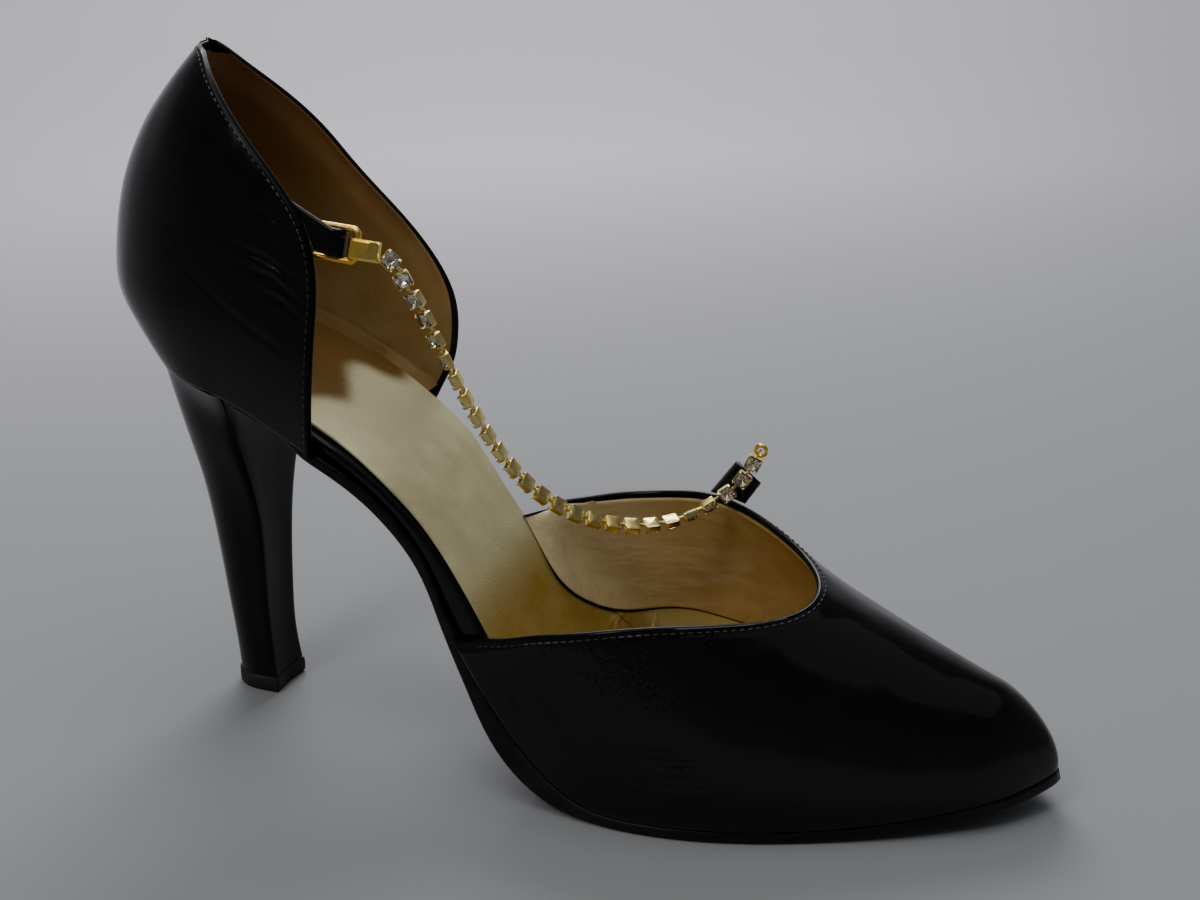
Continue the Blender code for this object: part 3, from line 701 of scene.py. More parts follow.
# %% Sole leather and heel rubber
sole_black, tree, shader, where = new_finish("black_sole_leather", Specular_IOR_Level=0.2)
skin = use_group(tree, grain, where, Scale=1500.0)
marks = use_group(tree, wear, where, Specks=1.0, Smears=1.0)
scuffed = math_node(tree, "MAXIMUM", marks["Smear"], attribute(tree, "scuffed"))
dark = mix(tree, scuffed, (0.0035, 0.0035, 0.0030), (0.013, 0.013, 0.010))
feed(tree, shader, 0.10, skin["Height"], Base_Color=mix(tree, marks["Dust"], dark, (0.25, 0.24, 0.22)),
     Roughness=between(tree, scuffed, 0.26, 0.55))

rubber, tree, shader, where = new_finish("black_heel_rubber")
skin = use_group(tree, grain, where, Scale=900.0)
marks = use_group(tree, wear, where, Specks=1.0, Smears=1.0)
feed(tree, shader, 0.20, skin["Height"],
     Base_Color=mix(tree, marks["Smear"], (0.006, 0.006, 0.006), (0.022, 0.021, 0.019)),
     Roughness=between(tree, skin["Tone"], 0.5, 0.8))
print("finishes:", [finish.name for finish in (patent, heel_patent, lining, foil, sole_black, rubber)])

# %% [markdown]
# The vamp is one skin pulled over the toe. Its top edge is folded over, so the black leather rolls round the
# edge and ends a little way down inside, where the lining begins. A Solidify modifier could give the wall,
# but its edge would be square, so the rows of the fold are worked out: they start inside, go over the roll
# and down to the toe. Long creases that the foot has bent into the side are soft troughs with a low ridge
# beside them, placed as lines in the shoe's X and Z.

# %% Folded edges and creases
def edge_frame(grid):
    """First row of a grid as an edge: its points, outward normals, and the direction off the edge."""
    normal = grid_normals(grid[:3])[0]
    off = np.cross(normal, unit(np.gradient(grid[0], axis=0)))
    off = off * np.sign(np.sum(off * (grid[0] - grid[1]), -1, keepdims=True))
    return grid[0], unit(normal), unit(off)


def rolled(edge, normal, off, wall, fold, steps=9):
    """Rows that come up inside the wall from a fold's end and over a half circle to the outer face."""
    turn = np.linspace(np.pi, 0, steps)[:, None, None]
    half = 0.5 * wall
    middle = edge - normal * half - off * half
    over = middle + half * (normal * np.cos(turn) + off * np.sin(turn))
    share = np.linspace(1, 0, 4)[:, None, None]
    inside = edge - normal * wall - off * (half + 0.2 + (np.reshape(fold, (1, -1, 1)) - half - 0.2) * share)
    return np.concatenate([inside, over])


def smooth(value, low, high):
    """A soft step from 0 at low to 1 at high."""
    share = np.clip((value - low) / (high - low), 0, 1)
    return share * share * (3 - 2 * share)


def sagged(points, amount, reach):
    """Points of the outer edge lowered along the feather line's normal, less and less up to a reach."""
    x, y, z = np.moveaxis(points, -1, 0)
    fall = np.mean([np.interp(x + shift, SAG["x"], SAG[amount]) for shift in (-3, -1.5, 0, 1.5, 3)], 0)
    fall = fall * smooth(y, -4, -20) * smooth(z - feather(x), reach, 0.3)
    normal_x, normal_z = feather_normal(x)
    return points - np.stack([normal_x * fall, 0 * fall, normal_z * fall], -1)


def trough(across, along, line, wide, deep, ridge=0.35):
    """Depth of a crease: a soft trough along a line of points, with low ridges at its sides."""
    line = np.array(line, float)
    level = np.interp(along, line[:, 0], line[:, 1])
    fade = smooth(along, line[0, 0], line[0, 0] + 8) * (1 - smooth(along, line[-1, 0] - 8, line[-1, 0]))
    gap = (across - level) / wide
    return fade * deep * (ridge * np.exp(-(np.abs(gap) - 1.7) ** 2) - np.exp(-gap ** 2))


def edge_distance(points, edge):
    """Distance of every point from the nearest point of an edge line."""
    gaps = points.reshape(-1, 1, 3).astype(np.float32) - edge[None].astype(np.float32)
    return np.sqrt(np.min(np.sum(gaps ** 2, -1), 1)).reshape(points.shape[:-1])


STITCH_IN = 1.55


def stitched_edge(points, edge):
    """Height of a sewn edge: the thread draws in a groove, and the leather swells softly behind it."""
    away = edge_distance(points, edge) - STITCH_IN
    return 0.03 * np.exp(-((away - 1.7) / 0.9) ** 2) - 0.14 * np.exp(-(away / 0.5) ** 2)


# %% Vamp leather
VAMP_CREASES = [
    ([(64, 22.0), (73, 22.2), (80, 21.4), (88, 19.6), (96, 17.4), (104, 16.6), (114, 17.6)], 0.55, 0.34),
    ([(66, 20.0), (76, 19.8), (84, 18.4), (92, 16.4), (98, 15.4), (108, 15.2)], 0.5, 0.26),
    ([(68, 24.4), (78, 24.0), (88, 22.2), (98, 20.2), (110, 20.0)], 0.5, 0.22),
    ([(76, 17.6), (84, 16.2), (92, 14.6), (102, 13.4), (114, 13.6)], 0.5, 0.20),
    ([(84, 12.6), (94, 12.6), (104, 11.8), (116, 12.2)], 0.6, 0.14)]

SAG_REACH = 9.0
UNDER_SHARE, UNDER_FRONT = 0.14, 150.0

angles = np.linspace(0, 180, 241)
vamp = sagged(vamp_grid(130, angles), "upper", SAG_REACH)
row_way = unit(vamp[1] - vamp[0])
vamp_out = grid_normals(vamp)
vamp_out[-1] = (1, 0, 0)
vamp_edge, vamp_edge_out, vamp_edge_off = edge_frame(vamp)
outer_side = smooth(vamp[..., 1], -8, -20)
relief = sum(trough(vamp[..., 2], vamp[..., 0], *crease) for crease in VAMP_CREASES) * outer_side
relief = relief + stitched_edge(vamp, vamp_edge) * smooth(vamp[..., 0], 62, 68)
vamp = vamp + vamp_out * relief[..., None]
under = vamp[:, [0, -1]]
middle = 0.5 * np.add(*outline(under[..., 0], 0.0))
centre = np.stack([np.minimum(under[..., 0], UNDER_FRONT), middle, under[..., 2]], -1)
under = under + UNDER_SHARE * (centre - under)
fold_depth = 1.2 + 1.2 * smooth(vamp_edge[:, 0], 58, 72)
fold_rows = rolled(vamp_edge, vamp_edge_out, vamp_edge_off, VAMP_WALL, fold_depth)
vamp_rows = np.concatenate([fold_rows, vamp[1:]])
under_rows = np.concatenate([np.repeat(under[:1], len(fold_rows), 0), under[1:]])
vamp_rows = np.concatenate([under_rows[:, :1], vamp_rows, under_rows[:, 1:]], 1)

# %% Vamp's creased zone and its two pieces
BEND_X, BEND_Z, BEND_LONG, BEND_HIGH = 92, 40, 25, 18

bend_reach = np.hypot((vamp_rows[..., 0] - BEND_X) / BEND_LONG, (vamp_rows[..., 2] - BEND_Z) / BEND_HIGH)
bend_zone = (1 - smooth(bend_reach, 0.62, 1.0)) * smooth(vamp_rows[..., 1], -13, -20)
bend_zone = bend_zone * (0.15 + 0.85 * smooth(edge_distance(vamp_rows, vamp_edge), 1.0, 3.0))
rim = smooth(vamp_rows[..., 2] - feather(vamp_rows[..., 0]), 3.5, 0.5)
folded = len(fold_rows)
vamp_leather = add_grid("vamp_leather", vamp_rows[folded:], patent, creased=bend_zone[folded:],
                        dulled=0.4 * rim[folded:])
fit(vamp_leather, "patent_leather", "vamp")


def plain_wear(grid, dulled):
    """Stored values of a piece without creases, rubbed alike all over."""
    return {"creased": np.zeros(grid.shape[:-1]), "dulled": np.full(grid.shape[:-1], dulled)}


fold_grid = vamp_rows[:folded + 1]
vamp_fold = add_grid("vamp_fold", fold_grid, heel_patent, **plain_wear(fold_grid, 0.3))
fit(vamp_fold, "patent_leather")

# %% [markdown]
# Inside the vamp lies the tan lining. It is the same surface a wall's thickness further in,
# starting just under the fold, and its first rows step up from the fold so that its edge
# is a real edge. Low on the inner side the lining ends in a curved line: in the forepart
# part way up the wall, and at the waist some way in over the sock. One bent sheet follows
# the wall and the sock with a rounded corner between them, so the line can run over both.

# %% The bent sheet inside the inner wall
CORNER = 3.0


def inner_wall(x, up, off):
    """Points up the inner wall, or in over the sock where up is negative, standing off both a little."""
    bend = np.sqrt(up ** 2 + CORNER ** 2)
    rise, reach_in = 0.5 * (bend + up), 0.5 * (bend - up)
    foot = feather(x)
    z = foot + (SOCK_TOP + off) / feather_normal(x)[1] + rise
    high = (spline(RIDGE["x"], RIDGE["height"], x) - foot) * round_end(x, TOE_ROUND, TOE_END + WALL_OUT)
    angle = np.pi - np.arcsin(np.clip((z - foot) / np.maximum(high, 1.0), 0, 0.98))
    x = x + 0 * angle
    wall = vamp_surface(x, angle)
    along = vamp_surface(x + 0.1, angle) - wall
    over = vamp_surface(x, angle + 0.01) - wall
    lean = np.maximum(unit(np.cross(along, over))[..., 1], 0.5)
    return np.stack([x, wall[..., 1] - (VAMP_WALL + off) / lean - reach_in, z + 0 * x], -1)


# %% Upper part of the vamp's lining
LINING_RISE = 0.5
WALL_ANGLE = 160

lining_step = 0.6 * fold_depth
set_back = (lining_step + 0.8) / np.maximum(-np.sum(row_way * vamp_edge_off, -1), 0.3) * row_way[:, 0]
inside = vamp_grid(90, angles, set_back)
inside = inside - grid_normals(inside) * (VAMP_WALL + LINING_RISE)
lip = vamp_edge - vamp_edge_off * lining_step[:, None] - vamp_edge_out * (VAMP_WALL - 0.2)
step = vamp_edge - vamp_edge_off * (lining_step[:, None] + 0.15) - vamp_edge_out * (VAMP_WALL + LINING_RISE)
upper_part = (angles > 5) & (angles < WALL_ANGLE + 1)
upper_lining = np.concatenate([lip[None], step[None], inside[:-8]])[:, upper_part]
print("upper lining", upper_lining.shape[:2])

# %% Lower part of the vamp's lining
LINING_LOW = table("x up", (50, -6), (55.3, -8.4), (59.7, -11.3), (62.5, -13.3), (64.8, -14.2),
                   (67.3, -13.4), (69.7, -11), (72.3, -7.2), (74.5, -3), (76.4, 0.4), (78.4, 3.1),
                   (83.2, 7.7), (91.7, 10.2), (100.4, 8.9), (116, 8.4), (150, 7))
LINING_REAR, LINING_FRONT = 55.4, 160

low_x = np.linspace(LINING_REAR, LINING_FRONT, 172)[:, None]
inner_edge = vamp_edge[angles > 90]
cap_z = np.interp(low_x, inner_edge[::-1, 0], inner_edge[::-1, 2])
cap_z = cap_z - 0.85 - 0.86 * smooth(low_x, 58, 72) - 0.2 * smooth(low_x, 64, 68)
wall_z = vamp_surface(low_x, np.radians(WALL_ANGLE))[..., 2]
top_z = np.where(low_x < 100, np.minimum(cap_z, wall_z), wall_z)
rise = np.maximum(top_z - feather(low_x) - SOCK_TOP / feather_normal(low_x)[1], 0.45)
high_up = rise - CORNER ** 2 / (4 * rise)
low_up = spline(LINING_LOW["x"], LINING_LOW["up"], low_x)
share = np.linspace(0, 1, 44)[None, :]
standing = np.where(share > 0, LINING_RISE - 0.03, 0.05)
standing = standing - 0.45 * smooth(share, 0.97, 1.0) * smooth(low_x, 68, 65)
standing = 0.06 + (standing - 0.06) * smooth(low_x, 54, 60)
lower_lining = inner_wall(low_x, low_up + (np.maximum(high_up, low_up + 0.5) - low_up) * share, standing)

# %% Lower lining led up to the vamp's corner, and the whole lining
rim_inside = (inner_edge - vamp_edge_out[angles > 90] * (VAMP_WALL - 0.2) - (0, 0, 0.7))[::-1]
rim_x = low_x + 2.4 * smooth(low_x, 61, LINING_REAR)
rim_y, rim_z = (np.interp(rim_x, rim_inside[:, 0], rim_inside[:, axis]) for axis in (1, 2))
rim_point = np.stack([rim_x, rim_y, rim_z], -1)
bridge = lower_lining[:, :1] + (rim_point - lower_lining[:, :1]) * share[..., None]
lower_lining = lower_lining + (bridge - lower_lining) * smooth(low_x, 64, 57)[..., None]

points, faces = join_grids(upper_lining[:, ::-1], lower_lining)
# Painted shade: the lining is browner low in the forepart and deep in the toe.
shade = 0.25 * smooth(points[:, 2], 22, 8) * smooth(points[:, 0], 90, 110)
shade = shade + 0.25 * smooth(points[:, 0], 112, 135)
edge_gilt = 0.75 * smooth(points[:, 0], 100, 58)
vamp_lining = add_mesh("vamp_lining", points, faces, lining, browned=shade, gilded=edge_gilt,
                       wrinkled=smooth(points[:, 0], 118, 84))
fit(vamp_lining, "gold_leather")

# %% [markdown]
# The lining's lower edge shows as a dark line between tan and gold: its cut edge and the shade beneath it. A
# stripe of paint could draw it, but here a thin round black bead along the edge stands in for both, and has
# its own shadow. It is a tube on the line of the edge, thinner towards both ends, with another up the rear
# edge.

# %% Dark bead for the lining's cut edge and the shade under it
EDGE_REAR, EDGE_FRONT, EDGE_RADIUS, REAR_RADIUS = 58.6, 124, 0.30, 0.33

edge_x = np.linspace(EDGE_REAR, EDGE_FRONT, 90)
edge_line = inner_wall(edge_x, spline(LINING_LOW["x"], LINING_LOW["up"], edge_x), 0.3)
edge_size = EDGE_RADIUS * smooth(edge_x, EDGE_REAR, 66) * (1 - 0.45 * smooth(edge_x, 78, 92))
cut_edge = tube_grid(edge_line, np.maximum(edge_size, 0.03), 10)
rear_edge = tube_grid(lower_lining[0], REAR_RADIUS, 10)
points, faces = join_grids((cut_edge, ROUND), (rear_edge, ROUND))
lining_edge = add_mesh("lining_edge", points, faces, heel_patent, **plain_wear(points, 1.0))
fit(lining_edge, "patent_leather")

# %% [markdown]
# The quarter stands round the heel like a deep cup, cut low in front. A closing seam runs
# down the back, and the leather has creased where the ankle pressed it and puckered under the
# buckle's tab. Such folds could be sculpted, but as lines with a width and a depth they stay
# where they were put. Below, the leather is drawn in under the seat.

# %% Quarter leather
QUARTER_CREASES = [
    ([(-8, 113.0), (-1.4, 107.6), (4.4, 102.4), (13.2, 96.0), (24, 89.8)], 0.8, 0.10),
    ([(2, 110.5), (6.7, 106.5), (13.4, 101.0), (22, 94.0)], 0.7, 0.07)]
QUARTER_PUCKERS = [
    ([(8, 112.6), (17, 109.6), (27, 104.0)], 0.8, 0.28), ([(10, 108.2), (19, 105.6), (28, 99.4)], 0.8, 0.27),
    ([(14, 104.0), (21, 101.4), (28, 95.6)], 0.7, 0.22), ([(9, 118.8), (18, 117.4), (26, 115.0)], 0.8, 0.20)]
TOP = QUARTER["rise"][-1]
SEAM_DEEP, SEAM_WIDE, LASTED_OUT, TUCK_SHARE = 0.28, 0.45, 0.5, 0.88

rise = np.linspace(0, TOP, 110)[:, None]
around = np.linspace(-1, 1, 221)[None, :]
quarter = quarter_surface(rise, around)
quarter_out = grid_normals(quarter)
rim_line = np.concatenate([quarter[:-1, 0], quarter[-1], quarter[-2::-1, -1]])
rim_out = np.concatenate([quarter_out[:-1, 0], quarter_out[-1], quarter_out[-2::-1, -1]])
seam = -SEAM_DEEP * np.exp(-(quarter[..., 1] / SEAM_WIDE) ** 2) * smooth(quarter[..., 0], 4, -6)
bends = sum(trough(quarter[..., 2], quarter[..., 0], *line) for line in QUARTER_CREASES + QUARTER_PUCKERS)
lasted = LASTED_OUT * smooth(rise, 9, 0) * smooth(quarter[..., 0], 6, -8)
sewn = stitched_edge(quarter, rim_line) * smooth(rise, 2, 8) * smooth(quarter[..., 2], 132, 120)
relief = bends * smooth(quarter[..., 1], -4, -16) + seam + lasted + sewn
quarter = quarter + quarter_out * relief[..., None]

# %% Quarter's lower edge and its piece
pucker_zone = 0.45 * smooth(quarter[..., 0], 17, 24) * smooth(quarter[..., 1], -10, -18)
pucker_zone = pucker_zone * smooth(abs(quarter[..., 2] - 106), 13, 4)
tuck = quarter[:1] * (1, TUCK_SHARE, 1) + (0, 0, 0.05)
tuck[..., 0] = np.maximum(tuck[..., 0], HEEL_END + 0.5)
quarter_rows = np.concatenate([tuck, quarter])
quarter_creased = np.concatenate([pucker_zone[:1], pucker_zone])
quarter_dulled = 0.5 * smooth(quarter_rows[..., 2] - feather(quarter_rows[..., 0]), 4, 0)
quarter_leather = add_grid("quarter_leather", quarter_rows, patent, creased=quarter_creased,
                           dulled=quarter_dulled)
fit(quarter_leather, "patent_leather", "quarter")

# %% [markdown]
# The quarter's rim is one long folded edge: up the outer front, over the back and down the
# inner front. A bevel can't follow it, because the grid turns a corner twice on the way. So
# the edge is taken from the surface as a line, evened out, and the vamp's fold is rolled along
# it as a binding, with a short flap on the outside and a small nub where its ends meet.

# %% Quarter's rim
def even_line(line, count, *others):
    """A line, and values along it, at even distances."""
    run = np.concatenate([[0], np.cumsum(np.linalg.norm(np.diff(line, axis=0), axis=1))])
    at = np.linspace(0, run[-1], count)
    items = (line, *others)
    return [np.stack([np.interp(at, run, column) for column in item.T], -1) for item in items]


def softened(values, times):
    """Values along a line, averaged with their neighbours a number of times, ends kept."""
    for _ in range(times):
        values = np.concatenate([values[:1], (values[:-2] + 2 * values[1:-1] + values[2:]) / 4, values[-1:]])
    return values


RIM_WALL, RIM_COUNT = 0.85, 420
NUB_WIDE, NUB_WAY = 1.8, (-1.2, 0, 0.8)

rim_line, rim_out = even_line(rim_line, RIM_COUNT, rim_out)
rim_line, rim_out = softened(rim_line, 8), unit(softened(rim_out, 30))
rim_way = unit(softened(np.gradient(rim_line, axis=0), 10))
rim_off = unit(np.cross(rim_way, rim_out))
rim_off = rim_off * np.sign(np.sum(rim_off * (rim_line - (0, 0, 100)), -1).mean())
print("rim", np.linalg.norm(np.diff(rim_line, axis=0), axis=1).sum().round(1), "mm")
nub = np.exp(-((np.arange(RIM_COUNT) - 0.5 * (RIM_COUNT - 1)) / NUB_WIDE) ** 2)[:, None]
rim_edge = rim_line + nub * NUB_WAY
rim_fold = 1.3 + 1.5 * smooth(rim_line[:, 2], 136, 147)
fold_rows = rolled(rim_edge, rim_out, rim_off, RIM_WALL, rim_fold)
flap_out, flap_down = np.array([(0.06, 0.10, 0.02), (0.0, 1.4, 1.7)])[..., None, None]
flap = rim_line + rim_out * flap_out - rim_off * flap_down
rim_grid = np.concatenate([fold_rows, flap])[:, ::-1]
quarter_rim = add_grid("quarter_rim", rim_grid, heel_patent, **plain_wear(rim_grid, 0.8))
fit(quarter_rim, "patent_leather")

# %% [markdown]
# The quarter's lining is the same cup a wall's thickness further in. It tucks under the rim's fold along its
# edge, and its foot is drawn in under the sock by four rows of a skirt, so no gap shows at the seat. A copy
# with Solidify would leave that corner open. The lining is browner towards the top and at the back, and a
# painted shade darkens it towards the front and in the corner by the sock.

# %% Quarter lining
CUP_FOOT, CUP_HEAD, FRONT_MARGIN, STRIP = 4.4, 2.0, 0.9, 0.02

in_rise = np.linspace(CUP_FOOT, TOP - CUP_HEAD, 70)[:, None]
front_strip = quarter_surface(in_rise, np.float64(-1.0)) - quarter_surface(in_rise, np.float64(STRIP - 1.0))
edge_in = FRONT_MARGIN / np.maximum(np.linalg.norm(front_strip, axis=-1), 0.05) * STRIP
in_around = np.linspace(-1, 1, 121)[None, :] * (1 - np.clip(edge_in, 0, 0.3))
heel_cup = quarter_surface(in_rise, in_around)
past_rim = smooth(edge_distance(heel_cup, rim_line), 1.5, 7.0)
depth = RIM_WALL + 0.25 + (QUARTER_WALL - RIM_WALL + 0.05) * past_rim
depth[-1], depth[:, 0], depth[:, -1] = (RIM_WALL - 0.2,) * 3
heel_cup = heel_cup - grid_normals(heel_cup) * depth[..., None]

# %% Skirt of the quarter's lining
forward = smooth(heel_cup[:1, :, 0], 14, 21)
outer_front = forward * (heel_cup[:1, :, 1] < 0)
skirt = np.repeat(heel_cup[:1], 4, 0)
skirt[..., 1] *= 0.79 + 0.21 * outer_front
skirt[..., 0] += 0.38 * np.maximum(2 - skirt[..., 0], 0)
sunk = SOCK_TOP - 0.05 - 0.35 * forward - 1.75 * outer_front
skirt[..., 2] = feather(skirt[..., 0]) + sunk / feather_normal(skirt[..., 0])[1]
skirt = skirt + (heel_cup[:1] - skirt) * np.array([0.0, 0.2, 0.5, 0.8])[:, None, None]
quarter_inside = np.concatenate([skirt, heel_cup])[:, ::-1]
lining_x, _, lining_z = np.moveaxis(quarter_inside, -1, 0)
foot_up = lining_z - feather(lining_x) - SOCK_TOP
# Painted shade: darker towards the front and in the corner by the sock, on top of a browner top and back.
shade = 0.22 + 0.55 * smooth(lining_z, 92, 126) + 0.12 * smooth(lining_x, 6, -16)
shade = shade + 0.22 * smooth(lining_x, 6, 26) + 0.4 * smooth(foot_up, 3, 0.3) * smooth(lining_x, 22, 14)
quarter_lining = add_grid("quarter_lining", quarter_inside, lining, browned=shade, gilded=0 * lining_x,
                          wrinkled=0.3 * smooth(lining_z, 100, 84))
fit(quarter_lining, "gold_leather")

# %% [markdown]
# The sole is made of layers that follow the feather line. A flat outline could be extruded and
# bent, but then its thickness would change in the arch. So each layer is a bar with rounded
# edges carried along the shoe: at every place its section is as wide as the last's outline
# and lies square to the feather line. The insole is wrapped in patent leather, and shows as
# a shiny rounded band along the open waist, with the outsole's edge below it.

# %% A layer of the sole
def slab(x, edges, low, high, corner, arc=6, flat=15):
    """A layer: at each X a bar from edge to edge, rounded, between two heights off the feather."""
    outer, inner = edges
    half, middle = 0.5 * (inner - outer)[:, None], 0.5 * (inner + outer)[:, None]
    turn = np.radians(np.concatenate([np.linspace(-90, 0, arc), np.linspace(0, 90, arc)]))
    level = np.repeat([-1.0, 1.0], arc)
    bend = np.minimum(corner, half)
    depth = min(corner, 0.5 * (high - low))
    side = half - bend + bend * np.cos(turn)
    rise = 0.5 * (high + low) + level * (0.5 * (high - low) - depth) + depth * np.sin(turn)
    across = np.linspace(1, -1, flat)[1:-1] * (half - bend)
    one = np.ones_like(half)
    y = np.concatenate([side, across, -side[:, ::-1], -across], 1) + middle
    lift = np.concatenate([rise * one, high + 0 * across, rise[::-1] * one, low + 0 * across], 1)
    normal_x, normal_z = feather_normal(x)
    level_x = x[:, None] + normal_x[:, None] * lift
    return np.stack([level_x, y, feather(x)[:, None] + normal_z[:, None] * lift], -1)


def capped(rings):
    """Rings closed at both ends by a last row drawn together into one point."""
    return np.concatenate([np.broadcast_to(rings[:1].mean(1, keepdims=True), rings[:1].shape), rings,
                           np.broadcast_to(rings[-1:].mean(1, keepdims=True), rings[-1:].shape)])


def crowd(start, stop, count, both=True):
    """Places from start to stop, crowded towards the round ends."""
    share = np.linspace(0, 1, count)
    share = 0.5 - 0.5 * np.cos(np.pi * share) if both else np.sin(0.5 * np.pi * share)
    return start + (stop - start) * share


def waisted(x, out, share):
    """The last's outline, its inner edge drawn in at the waist by a share of a soft hollow."""
    outer, inner = outline(x, out)
    return outer, inner - share * WAIST_HOLLOW * smooth(x, 34, 56) * smooth(x, 76, 58)


# %% Outsole and insole
WAIST_HOLLOW = 6.5

sole_x = crowd(HEEL_FRONT + GAP, TOE_END + 2.0, 150, both=False)
sole_out = spline(LAST["x"], LAST["edge"], sole_x) - 3.0 * smooth(sole_x, 25, 15)
sole_edges = waisted(sole_x, sole_out, 0.35)
sole_rings = capped(slab(sole_x, sole_edges, -GAP - OUTSOLE_THICK, -GAP, 0.75))
beneath = (feather(sole_rings[..., 0]) - sole_rings[..., 2]) * feather_normal(sole_rings[..., 0])[1]
beneath = smooth(beneath, 0.6, 2.4)[..., None]
sole_top, sole_bottom = (sagged(sole_rings, amount, SAG_REACH) for amount in ("upper", "sole"))
sole_rings = sole_top * (1 - beneath) + sole_bottom * beneath
sole_rings[..., 2] = np.maximum(sole_rings[..., 2], 0.0)
tread = smooth(sole_rings[..., 2], 1.2, 0.0) * smooth(sole_rings[..., 0], 80, 96)
outsole = add_grid("sole", sole_rings[:, ::-1], sole_black, closed_columns=True, scuffed=tread[:, ::-1])
fit(outsole, "sole_leather", "outsole")

board_x = crowd(HEEL_END + 0.4, TOE_END - 2.0, 170)
board_rings = capped(slab(board_x, waisted(board_x, -0.4, 0.75), 0.05, INSOLE_THICK, 1.3))
board_rings = sagged(board_rings, "upper", 4.0)
waist = smooth(board_rings[..., 0], 26, 34) * (1 - smooth(board_rings[..., 0], 70, 80))
insole = add_grid("insole_board", board_rings[:, ::-1], patent, closed_columns=True,
                  creased=0.25 * waist[:, ::-1], dulled=0.3 * waist[:, ::-1])
fit(insole, "patent_leather", "insole")

# %% [markdown]
# The sock is the gold leather sheet that the foot rests on. Along the inner side of the forepart it turns up
# the wall a little way, which is a second grid that follows the vamp's inside. One bent sheet could do both,
# but the layer's rounded edge would be lost. Foil creases where it bends, it turns to ochre over the ball,
# and the heel has stained the seat brown up to a soft line, with a painted light on the foil in front of it.

# %% Sock
STAIN = table("y x", (-26, 16.5), (-10.3, 18.8), (-8, 20.8), (-5.9, 23.4), (-4, 23), (0.9, 20), (9.8, 15.5),
              (12, 16.5), (14.4, 24.5), (17, 25.5), (19, 25.1), (24, 23.3))
sock_x = crowd(HEEL_END + 1.6, TOE_END - 8.0, 190)
sock_out = -2.6 + smooth(sock_x, 26, 38) + 1.1 * smooth(sock_x, 42, 56)
sock_edges = waisted(sock_x, sock_out, 1.0)
sock_rings = capped(slab(sock_x, sock_edges, SOCK_TOP - SOCK_THICK, SOCK_TOP, 0.4, flat=41))
turn_x = np.linspace(60, 155, 110)[:, None]
turn_top = np.maximum(spline(LINING_LOW["x"], LINING_LOW["up"], turn_x) + 2.5, -4.5)
turned_up = inner_wall(turn_x, -5.0 + (turn_top + 5.0) * np.linspace(0, 1, 26)[None, :], 0.12)

# %% Sock's wear and its piece
points, faces = join_grids((sock_rings[:, ::-1], ROUND), turned_up)
foil_x, foil_y, foil_z = points.T
on_wall = smooth(foil_z - feather(foil_x), 5.5, 9.0) * smooth(foil_x, 74, 82)
# Share of ochre foil over the ball, less where the sheet turns up the wall.
ball_wear = smooth(foil_x + 0.03 * foil_y, 54.5, 63.0) * (1 - 0.8 * on_wall)
blur = np.linspace(-2.5, 2.5, 7)[:, None]
seat_stain = smooth(np.interp(foil_y + blur, STAIN["y"], STAIN["x"]) - foil_x, -3.5, 3.5).mean(0)
# painted light on the foil just in front of the seat stain
clean_foil = smooth(foil_x, 44, 22)
foil_bend = smooth(foil_x, 66, 72) * smooth(foil_x, 90, 80) * smooth(foil_y, 12, 22)
sock = add_mesh("gold_sock", points, faces, foil, worn=ball_wear, stained=seat_stain, wrinkled=foil_bend,
                clean=clean_foil)
fit(sock, "gold_leather", "sock")

# %% [markdown]
# The heel is a slim column that spreads into the seat. Its sections are known at a few
# levels, each round at the back and straight across the breast, and smooth curves run
# through matching points of all of them. A cage with Subdivision Surface would round its
# edges too, but would shrink away from these sizes. The top piece below it is a block of hard
# rubber.

# %% Heel's sections
SEAT_MARGIN = WALL_OUT + 0.35
BACK_SHARE, BREAST_HOLLOW = 0.62, 0.5

share = np.linspace(0, 1, 60) ** 2
heel_side = HEEL["half"][:, None] * np.sqrt(1 - (1 - np.clip(share / BACK_SHARE, 0, 1)) ** 2)
heel_x = HEEL["back_x"][:, None] + (HEEL["front_x"] - HEEL["back_x"])[:, None] * share
heel_z = HEEL["back_z"][:, None] + (HEEL["front_z"] - HEEL["back_z"])[:, None] * share
seat_x = HEEL_END - SEAT_MARGIN + (HEEL_FRONT - HEEL_END + SEAT_MARGIN) * share
seat_side = 0.5 * np.subtract(*outline(seat_x, SEAT_MARGIN)[::-1])
seat = np.stack([seat_x, seat_side, feather(seat_x) - GAP], -1)
levels = np.concatenate([np.stack([heel_x, heel_side, heel_z], -1), seat[None]])
levels = np.stack([even_line(level, 60)[0] for level in levels])
breast = np.linspace(-1, 1, 41)[None, 1:-1, None]
front = levels[:, -1:]
hollow_x = np.broadcast_to(-BREAST_HOLLOW * (1 - breast ** 2), front.shape[:1] + breast.shape[1:])
hollow_y = (breast - 1) * front[..., 1:2]
hollow = np.concatenate([hollow_x, hollow_y, 0 * hollow_y], -1)
ring_sections = np.concatenate([levels[:, 1:] * (1, -1, 1), front + hollow, levels[:, ::-1]], 1)


def eased(rings):
    """Each ring's points averaged once with their neighbours round the ring."""
    return (np.roll(rings, 1, 1) + 2 * rings + np.roll(rings, -1, 1)) / 4


for _ in range(3):
    ring_sections = eased(ring_sections)
for _ in range(14):
    ring_sections[1:] = eased(ring_sections)[1:]
print("heel sections", ring_sections.shape[:2])

